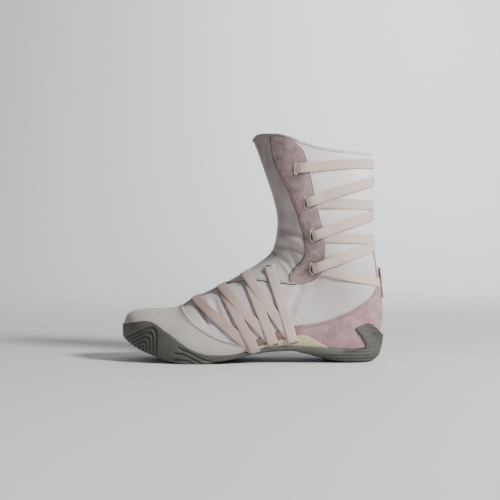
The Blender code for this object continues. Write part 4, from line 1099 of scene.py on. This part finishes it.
wall_steps = spread_start(42, 0.04)
under_steps = np.linspace(0, 1, 30)[1:] ** 1.15
grid_side, grid_turn, grid_under = [], [], []
for side in (-1, 1):
    start = smoothed(sole_start(side), 1)
    turn = start[:, None] + (WALL_FOOT - start[:, None]) * wall_steps
    turn = np.concatenate([turn, np.full((len(rows), len(under_steps)), WALL_FOOT)], 1)
    under = np.concatenate([0 * wall_steps, under_steps])[None] + 0 * turn
    sign = side + 0 * turn
    for store, grid in ((grid_side, sign), (grid_turn, turn), (grid_under, under)):
        store.append(grid if side < 0 else grid[:, ::-1][:, 1:])
sign, turn, under = (np.concatenate(store, 1) for store in (grid_side, grid_turn, grid_under))
row = rows[:, None] + 0 * turn
face = sole_outside(row, sign, turn, under)
inward = unit(skin(row, sign * 0.5) * (1, 0, 1) + face * (0, 0.3, 0) - face)
groove = grooves(face, sole_line)
depth = GROOVE_DEPTH * groove * np.clip(face[..., 2] / 0.0012, 0, 1) * (1 - under**6)
column = np.arange(row.shape[1])
rolled = np.clip(np.minimum(column, column[::-1]) / 3.0, 0, 1)[None] + 0 * row
tuck = SOLE_RIM * 0.35 * (1 - np.sqrt(1 - (1 - rolled) ** 2))
outward = unit(face - skin(row, sign * turn) + 1e-9)
face = face + inward * depth[..., None] - outward * (tuck * (under == 0))[..., None]
back_turn = np.where(under > 0, WALL_FOOT + (1 - WALL_FOOT) * np.clip(under * 6, 0, 1), turn)
edge = lifted(row, sign * back_turn, SOLE_GAP)
s = section_at(row)
middle = np.stack([(s["low_x"] - 0.5) * LENGTH, s["lean"] * BALL_WIDTH, s["low_z"] * HEIGHT], -1)
middle[..., 2] -= SOLE_GAP
share = np.clip((under - 1 / 6) * 1.2, 0, 1) ** UNDER_ROUNDING
inner_face = edge + (middle - edge) * share[..., None]
hook_top = hook_line[-4 * 8 :]
for sheet in (face, inner_face):
    over_hook = sheet[..., 0] > hook_top[0, 0]
    planed = np.interp(sheet[..., 0], hook_top[:, 0], hook_top[:, 1])
    sheet[..., 2] = np.where(over_hook, np.minimum(sheet[..., 2], planed), sheet[..., 2])
groove_map = np.stack([groove, under], -1)
sole = between("sole_rubber_cup", face, inner_face, [rubber_finish()], groove_map, pole=True)
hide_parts("outsole")


# Arch plate: a thin saddle of cream plastic under the arch. Its wings stand up outside the
# leather, and the elastic turns in slits along their edge.
PLATE = 0.0020


def plate_finish():
    """Smooth moulded plastic, slightly yellowed."""
    plate = Finish("plate_plastic", (0.52, 0.45, 0.305), 0.38)
    cloud = plate.noise(25, 3)
    plate.colour(plate.ramp(cloud, (0.3, (0.48, 0.415, 0.275)), (0.7, (0.56, 0.49, 0.335))))
    plate.bump(plate.noise(700, 2), 0.0001, 0.25)
    return plate.material


PLATE_PLASTIC = plate_finish()
plate_line = side_view(PLATE_TOP_EDGE, 8)
rows = rows_apart(9.45, 15.75, 0.0010)
turn_sides = []
for side in (-1, 1):
    start = edge_turns(rows, side, below(plate_line), 0.3, 0.999)[:, None]
    turn_sides.append(side * (start + (1 - start) * spread_start(30, 0.03)))
outer, inner = turn_sides
around = np.concatenate([outer, inner[:, ::-1]], 1)
row = rows[:, None] + 0 * around
roll = quarter_round(edge_distances(row, around, "lr"), 0.0012)
ends = np.clip(np.minimum(row - rows[0], rows[-1] - row) / 0.25, 0, 1)
top = lifted(row, around, GAP + PLATE * (0.15 + 0.85 * roll) * (0.4 + 0.6 * ends))
under = lifted(row, around, GAP + 0 * row)
plate = between("arch_plate_saddle", top, under, [PLATE_PLASTIC])
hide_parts("arch_plate")


# Footbed: cloth-covered foam, lying inside on the bottom of the knit.
rows = rows_apart(1.6, 16.9, 0.003)
across = np.linspace(-1, 1, 31)
row, side = np.meshgrid(rows, across, indexing="ij")
s = section_at(row)
half = np.where(side < 0, s["feather_out"], s["feather_in"]) * BALL_WIDTH - 2 * WALL
x, y = (s["low_x"] - 0.5) * LENGTH, s["lean"] * BALL_WIDTH + side * np.maximum(half, WALL)
low = np.stack([x, y, s["low_z"] * HEIGHT + GAP], -1)
rise = 0.0030 * (0.6 + 0.4 * np.sqrt(1 - side**8))
footbed = between("footbed_cloth", low + rise[..., None] * (0, 0, 1), low, [LINING])
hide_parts("insole")


# Collar binding: a thin folded tape sewn over the collar's edge, brown leather in front and
# pale cloth over the knit.
def binding_finish():
    """Brown in front and pale behind the suede, with a fine grain."""
    tape = Finish("binding_tape", (0.36, 0.31, 0.29), 0.8, Sheen_Weight=0.1)
    back = tape.fade(tape.coordinate(0), 0.030, 0.046)
    brown = tape.ramp(tape.noise(90, 4), (0.3, (0.20, 0.16, 0.15)), (0.7, (0.30, 0.25, 0.235)))
    tape.colour(tape.mix(back, brown, (0.60, 0.575, 0.56)))
    tape.bump(tape.noise(1600, 2), 0.0003, 0.5)
    return tape.material


def loop_faces(count, around):
    """Quads of a tube that closes on itself both ways."""
    number = np.arange(count * around).reshape(count, around)
    ahead, turned = np.roll(number, -1, 0), np.roll(number, -1, 1)
    return np.stack([number, turned, np.roll(ahead, -1, 1), ahead], -1).reshape(-1, 4)


turns = np.linspace(-1, 1, 361)[:-1]
top_row = np.full_like(turns, float(LAST_ROW))
along, _, out = directions(top_row, turns)
edge = skin(top_row, turns)
angle = np.linspace(0, 2 * math.pi, 17)[:-1]
raised = np.clip((0.050 - edge[:, 0]) / 0.006, 0, 1)
outer_lift, inner_lift = 0.0006 + (SUEDE + GAP) * raised, -WALL - 0.0004
mid_lift, half_lift = (outer_lift + inner_lift) / 2, (outer_lift - inner_lift) / 2
rise, half_rise = -0.0003, 0.0017
fold = np.clip(relief(top_row - 0.3, turns), -0.001, 0.001)
lift = (mid_lift + fold)[:, None] + squared(np.cos(angle), 0.5) * half_lift[:, None]
tall = (rise + squared(np.sin(angle), 0.7) * half_rise)[None, :, None]
ring = edge[:, None] + out[:, None] * lift[..., None] + along[:, None] * tall
faces = loop_faces(len(turns), len(angle))
binding = piece("collar_binding_tape", ring.reshape(-1, 3), faces, [binding_finish()])
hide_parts("collar_binding")


# Elastic: flat woven tape in beige, 10 mm wide. One length zigzags round the back of the
# shaft between the suede's slots, and one on each side of the foot runs from the slots of
# the instep down to the arch plate.
BAND_WIDTH = 0.0096
BAND_THICKNESS = 0.0014
# How deep its ends sink in their slots, and how high it stands off what is below it.
SLOT_DIP = 0.0034
BAND_STAND = 0.0005
# Slots of the shaft, top to bottom, seen from the side, and the heights at which the
# elastic crosses the back: a straight bar and the slanting run below it, in turn.
SHAFT_SLOTS = [(0.660, 0.838), (0.700, 0.690), (0.723, 0.546), (0.723, 0.406)]
BAR_HEIGHTS_AT_BACK = [0.868, 0.684, 0.532, 0.350]
SLANT_HEIGHTS_AT_BACK = [0.792, 0.644, 0.506]
# Slots of the instep: row along the boot, and share of the way round from the ridge.
INSTEP_SLOTS = [(8.25, 0.05), (10.1, 0.06), (12.0, 0.07), (14.3, 0.145)]
# Where the elastic turns on the arch plate, front to back, seen from the side.
PLATE_TURNS = [(0.512, 0.053), (0.575, 0.090), (0.648, 0.096)]


def elastic_finish():
    """Woven elastic: fine cords lengthwise crossed by tighter ribs, with a painted highlight
    along each edge and a painted shade line just inside it, and darker towards the toe."""
    elastic = Finish("elastic_tape", (0.60, 0.49, 0.42), 0.85, Sheen_Weight=0.1)
    cords = elastic.ribs(0.0012, (1, 0))
    cross = elastic.ribs(0.0010, (0, 1))
    weave = elastic.math("ADD", cords, elastic.math("MULTIPLY", cross, 0.5))
    cloud = elastic.noise(35, 4)
    tone = elastic.ramp(cloud, (0.3, (0.65, 0.52, 0.445)), (0.7, (0.74, 0.605, 0.525)))
    back = elastic.fade(elastic.coordinate(0), -0.05, 0.05)
    # Darker towards the toe.
    toe_darkening = elastic.ramp(back, (0.0, (0.56, 0.50, 0.49)), (1.0, (1.0, 1.0, 1.0)))
    tone = elastic.mix(1.0, tone, toe_darkening, "MULTIPLY")
    shade = elastic.ramp(weave, (0.2, (0.84, 0.83, 0.82)), (0.9, (1.0, 1.0, 1.0)))
    woven = elastic.mix(0.8, tone, shade, "MULTIPLY")
    across = elastic.math("ABSOLUTE", elastic.coordinate(0, "UV"))
    share = elastic.math("MULTIPLY", across, 2 / BAND_WIDTH)
    # Painted light: the pale band near each edge is a painted highlight and the darker line inside
    # it is painted shade.
    edge_shade_stops = ((0.66, (0.93, 0.92, 0.91)), (0.76, (0.78, 0.75, 0.73)))
    edge = elastic.ramp(share, *edge_shade_stops, (0.84, (1, 1, 1)), (1.0, (0.86, 0.84, 0.82)))
    elastic.colour(elastic.mix(1.0, woven, edge, "MULTIPLY"))
    elastic.bump(weave, 0.0003, 0.5)
    return elastic.material


ELASTIC = elastic_finish()


def line_rows(turns, side, start, end, rows):
    """For each turn, the row where the surface crosses a straight side-view line."""
    trial = np.linspace(*rows, 300)
    place = skin(trial[None] + 0 * turns[:, None], side * turns[:, None] + 0 * trial[None])
    across = (end[0] - start[0]) * (place[..., 2] - start[1])
    across -= (end[1] - start[1]) * (place[..., 0] - start[0])
    if across[:, -1].mean() < across[:, 0].mean():
        across = -across
    return first_crossing(across, trial)


def turn_at(point, side, rows):
    """Row and turn of the surface under a side-view point, by search over a fine grid."""
    row, turn = np.meshgrid(np.linspace(*rows, 400), np.linspace(0.0, 1, 400), indexing="ij")
    place = skin(row, side * turn)
    best = np.argmin(np.hypot(place[..., 0] - point[0], place[..., 2] - point[1]))
    return row.flat[best], turn.flat[best]


def tape(name, row, around, lift):
    """A length of elastic whose middle follows rows and turns at a given lift: a flat
    section with rounded edges carried along the path."""
    place = lifted(row, around, lift)
    for axis in range(3):
        place[:, axis] = smoothed(place[:, axis], 3)
    run = lengths(place, 0)
    even = np.linspace(0, run[-1], int(run[-1] / 0.0010) + 2)
    place = np.stack([np.interp(even, run, place[:, axis]) for axis in range(3)], -1)
    normal = directions(np.interp(even, run, row), np.interp(even, run, around))[2]
    way = unit(np.gradient(place, axis=0))
    across = unit(np.cross(normal, way))
    normal = np.cross(way, across)
    share = np.array([-1, -0.97, -0.9, -0.6, -0.3, 0, 0.3, 0.6, 0.9, 0.97, 1.0])
    tall = np.array([0.5, 0.82, 0.97, 1, 1, 1, 1, 1, 0.97, 0.82, 0.5])
    flat = place[:, None] + across[:, None] * (share * BAND_WIDTH / 2)[None, :, None]
    top = flat + normal[:, None] * (tall * BAND_THICKNESS)[None, :, None]
    under = flat + normal[:, None] * ((1 - tall) * BAND_THICKNESS)[None, :, None]
    chart = np.stack([share * BAND_WIDTH / 2 + 0 * even[:, None], even[:, None] + 0 * share], -1)
    made = between(name, top[:, ::-1], under[:, ::-1], [ELASTIC], chart[:, ::-1])
    return made


def spot(share):
    """A side-view point given in shares, in metres."""
    return np.array(share) * (LENGTH, HEIGHT) - (LENGTH / 2, 0)


back_x = skin(24.0, 1.0)[0]


def shaft_run(name, start, height, end, over, dips):
    """A length from the outer side round the back to the inner side; dips says which ends
    sink into a slot."""
    rows = (17.0, float(LAST_ROW))
    back = np.array([back_x, height * HEIGHT])
    row, around = [], []
    for side, share in ((-1, start), (1, end)):
        _, turn = turn_at(spot(share), side, rows)
        turns = np.linspace(turn, 1.0, 160)
        found = line_rows(turns, side, spot(share), back, rows)
        if side < 0:
            row.append(found)
            around.append(-turns)
        else:
            row.append(found[::-1][1:])
            around.append(turns[::-1][1:])
    row, around = np.concatenate(row), np.concatenate(around)
    place = skin(row, around)
    run = lengths(place, 0)
    on_stay = behind(back_edge)(place) < BAND_WIDTH / 3
    lift = BAND_STAND + np.where(on_stay, GAP + STAY, 0.0) + over
    for side, dip in ((0, dips[0]), (1, dips[1])):
        away = run if side == 0 else run[-1] - run
        if dip == "slot":
            lift = lift + 0.0006 * np.exp(-(((away - 0.004) / 0.002) ** 2))
            lift = lift - SLOT_DIP * np.clip(1 - away / 0.0024, 0, 1) ** 1.5
        else:
            lift = np.where(away < 0.010, np.minimum(lift, 0.0003), lift)
    lift = smoothed(smoothed(lift, 5), 5)
    swell = BACK_SWELL * 0.25 * np.clip((np.abs(around) - 0.45) * 3, 0, 1)
    return tape(name, row, around, lift + swell + relief(row, around) * 0.5)


def slot_behind(slot):
    """The place under the suede's rear edge where the elastic comes out again."""
    return (slot[0] + 0.020, slot[1] - 0.003)


for number, height in enumerate(BAR_HEIGHTS_AT_BACK):
    slot = SHAFT_SLOTS[number]
    start = slot if number == 0 else slot_behind(slot)
    dips = ("slot" if number == 0 else "under", "slot")
    bar = shaft_run(f"shaft_elastic_bar_{number}", start, height, slot, 0.0, dips)
    if number == 0:
        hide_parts("shaft_lace")
for number, height in enumerate(SLANT_HEIGHTS_AT_BACK):
    start, end = SHAFT_SLOTS[number + 1], slot_behind(SHAFT_SLOTS[number])
    name, over = f"shaft_elastic_slant_{number}", BAND_THICKNESS * 0.9
    shaft_run(name, start, height, end, over, ("slot", "under"))


def instep_run(name, top, foot, side, from_slot, last_one):
    """A length from near the ridge down one side to its turn on the arch plate. One that
    leaves its own slot lies over the others at the top and under them at the bottom."""
    rows = (6.0, 17.0)
    start, end = skin(top[0], side * top[1])[[0, 2]], spot(foot)
    _, last = turn_at(end, side, rows)
    turns = np.linspace(top[1], last, 200)
    row, around = line_rows(turns, side, start, end, rows), side * turns
    place = skin(row, around)
    run = lengths(place, 0)
    out_of_slot = from_slot or last_one
    on_panel = below(instep_lower)(place) < (BAND_WIDTH / 4 if out_of_slot else -0.0005)
    on_plate = below(plate_line)(place) > -BAND_WIDTH / 4
    lift = np.where(on_panel, GAP + LEATHER if out_of_slot else -BAND_THICKNESS, 0.0)
    lift = np.where(on_plate, GAP + PLATE * 0.9, lift)
    lift = smoothed(smoothed(lift, 8), 8) + BAND_STAND
    share = run / run[-1]
    way = 3 * share**2 - 2 * share**3
    lift = lift + BAND_THICKNESS * 0.95 * (1 - way if from_slot else way)
    if out_of_slot:
        lift = lift + 0.0012 * np.exp(-(((run - 0.0045) / 0.0028) ** 2))
        lift = lift - SLOT_DIP * np.clip(1 - run / 0.0026, 0, 1) ** 1.5
    away = run[-1] - run
    lift = lift - SLOT_DIP * np.clip(1 - away / 0.0022, 0, 1) ** 2
    return tape(name, row, around, lift + relief(row, around) * 0.4)


for side, word in SIDES:
    for number, foot in enumerate(PLATE_TURNS):
        name = f"instep_elastic_{word}_{number}"
        last_one = number == len(PLATE_TURNS) - 1
        made = instep_run(f"{name}_over", INSTEP_SLOTS[number], foot, side, True, False)
        if number == 0:
            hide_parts(f"instep_lace_{word}")
        instep_run(f"{name}_back", INSTEP_SLOTS[number + 1], foot, side, False, last_one)


# Slots for the elastic: slits cut through suede, leather and plate, each shown as a dark lens
# of painted shade, with a corded edge worked round it.
SLOT_LENGTH = 0.0116
SLOT_WIDTH = 0.0026
SLOT_CORD = 0.00052


def slit_shade_finish():
    """Painted shade: the dark inside of a slit, laid as a thin lens on the surface."""
    hollow = Finish("slit_dark", (0.035, 0.027, 0.025), 0.95, Specular_IOR_Level=0.1)
    cloud = hollow.noise(500, 3)
    hollow.colour(hollow.ramp(cloud, (0.3, (0.03, 0.023, 0.02)), (0.7, (0.06, 0.045, 0.04))))
    return hollow.material


SLIT_SHADE = slit_shade_finish()


def near(row, turn, side, sideways, up):
    """Rows and turns at distances from a place, measured on the surface: up is along its
    steepest rise and sideways is level. The surface counts as flat over so short a way."""
    step = 0.01
    ahead = (skin(row + step, side * turn) - skin(row - step, side * turn)) / (2 * step)
    round_it = (skin(row, side * (turn + step)) - skin(row, side * (turn - step))) / (2 * step)
    out = unit(np.cross(ahead, round_it))
    rise = unit(np.array([0, 0, 1.0]) - out * out[2])
    level = np.cross(rise, out)
    level = level * np.sign(level[0])
    moved = sideways[..., None] * level + up[..., None] * rise
    steps = moved @ np.linalg.pinv(np.stack([ahead, round_it], 1)).T
    return row + steps[..., 0], side * np.clip(turn + steps[..., 1], 0, 1)


def slit(name, row, turn, side, lean, lift, cord_finish):
    """A slit at a place, its long way leaning by an angle from the rise: a dark lens of painted
    shade, and a cord of round section carried about it, knotted by a sine wave along its length."""
    way_round = np.linspace(0, 2 * math.pi, 97)
    grow = np.array([0.0, 0.5, 1.0])[:, None]
    long = squared(np.cos(way_round), 0.7) * SLOT_LENGTH / 2
    short = np.sin(way_round) * SLOT_WIDTH / 2
    sideways = short * math.cos(lean) + long * math.sin(lean)
    up = long * math.cos(lean) - short * math.sin(lean)
    rows, turns = near(row, turn, side, sideways * grow, up * grow)
    base = relief(rows, turns) + lift
    top, low = lifted(rows, turns, base + 0.00012), lifted(rows, turns, base - 0.0006)
    # Painted shade: the dark lens lies on the surface in place of the shade inside the slit.
    dark = between(f"{name}_hollow", top, low, [SLIT_SHADE], pole=True, seam_from=0)
    path = lifted(rows[2], turns[2], base[2] + SLOT_CORD * 0.4)[:-1, None]
    out = directions(rows[2], turns[2])[2][:-1, None]
    across = unit(np.cross(out, np.roll(path, -1, 0) - np.roll(path, 1, 0)))
    angle = np.linspace(0, 2 * math.pi, 9)[:-1][None, :, None]
    knots = (1 + 0.22 * np.sin(way_round[:-1] * 24))[:, None, None]
    ring = path + SLOT_CORD * knots * (across * np.cos(angle) + out * np.sin(angle))
    faces = loop_faces(*ring.shape[:2])
    edge_cord = piece(f"{name}_cord", ring.reshape(-1, 3), faces, [cord_finish])


SLOT_THREAD = thread_finish("slot_thread", (0.66, 0.60, 0.55))
shaft_rows = (17.0, float(LAST_ROW))
for side, word in SIDES:
    for number, (x, z) in enumerate(SHAFT_SLOTS):
        shift, lean = (-0.003, -0.12) if number else (0.002, 0.0)
        row, turn = turn_at(spot((x + shift, z)), side, shaft_rows)
        name = f"shaft_slot_{word}_{number}"
        slit(name, row, turn, side, lean, GAP + STAY, SLOT_THREAD)
    for number, (row, turn) in enumerate(INSTEP_SLOTS):
        lean = 1.25 if number < 3 else 1.50
        name = f"instep_slot_{word}_{number}"
        slit(name, row, turn, side, lean, GAP + LEATHER, SLOT_THREAD)
    for number, (x, z) in enumerate(PLATE_TURNS[1:]):
        row, turn = turn_at(spot((x, z - 0.002)), side, (9.0, 16.0))
        name = f"plate_slot_{word}_{number}"
        slit(name, row, turn, side, 1.35, GAP + PLATE, PLATE_PLASTIC)


# Floor and a seamless backdrop, soft light from the front right, and the camera: level,
# 1 m from the boot on its outer side.
# How far behind the boot the floor begins to bend up, and the bend's radius.
BEND_START, BEND_RADIUS = 1.2, 1.5

across, deep = np.linspace(-3, 3, 3), np.linspace(-2.2, 3.2, 120)
wall = BEND_START + BEND_RADIUS
into_bend = np.clip(deep - BEND_START, 0, BEND_RADIUS)
rise = BEND_RADIUS - np.sqrt(BEND_RADIUS**2 - into_bend**2) + np.maximum(deep - wall, 0) * 8
x, y = np.meshgrid(across, deep, indexing="ij")
floor_points = np.stack([x, np.minimum(y, wall), rise[None] + 0 * x], -1)
floor_mesh = bpy.data.meshes.new("backdrop")
floor_mesh.from_pydata(floor_points.reshape(-1, 3).tolist(), [], grid_faces(*x.shape).tolist())
floor_mesh.shade_smooth()
grey = Finish("backdrop", (0.72, 0.73, 0.755), 0.9, Specular_IOR_Level=0.1)
floor_mesh.materials.append(grey.material)
floor = bpy.data.objects.new("backdrop", floor_mesh)
bpy.context.scene.collection.objects.link(floor)


def soft_light(name, place, aim, size, power):
    """A round soft light at a place, aimed at another."""
    light = bpy.data.lights.new(name, "AREA")
    light.shape, light.size, light.energy = "DISK", size, power
    lamp = bpy.data.objects.new(name, light)
    lamp.location = place
    x, y, z = np.array(aim) - np.array(place)
    lamp.rotation_euler = (math.atan2(math.hypot(x, y), -z), 0, math.atan2(y, x) - math.pi / 2)
    bpy.context.scene.collection.objects.link(lamp)


soft_light("key", (1.3, -0.9, 1.05), (0, 0, 0.08), 0.45, 56)
soft_light("fill", (-1.4, -1.3, 0.9), (0, 0, 0.08), 1.8, 4)
soft_light("top", (0.5, 0.3, 1.9), (0, 0, 0.1), 1.2, 6)
soft_light("back", (0.75, 1.2, 1.6), (0.25, 2.7, 0.9), 1.0, 50)
world = bpy.data.worlds.new("room")
world.use_nodes = True
world.node_tree.nodes["Background"].inputs["Color"].default_value = (0.95, 0.97, 1.0, 1)
world.node_tree.nodes["Background"].inputs["Strength"].default_value = 0.09
bpy.context.scene.world = world

camera = bpy.data.objects.new("camera", bpy.data.cameras.new("camera"))
camera.data.lens, camera.data.sensor_width = 70.6, 36
camera.data.clip_start = 0.01
camera.location = (-0.0026, -1.0, 0.112)
camera.rotation_euler = (math.pi / 2, 0, 0)
bpy.context.scene.collection.objects.link(camera)
bpy.context.scene.camera = camera
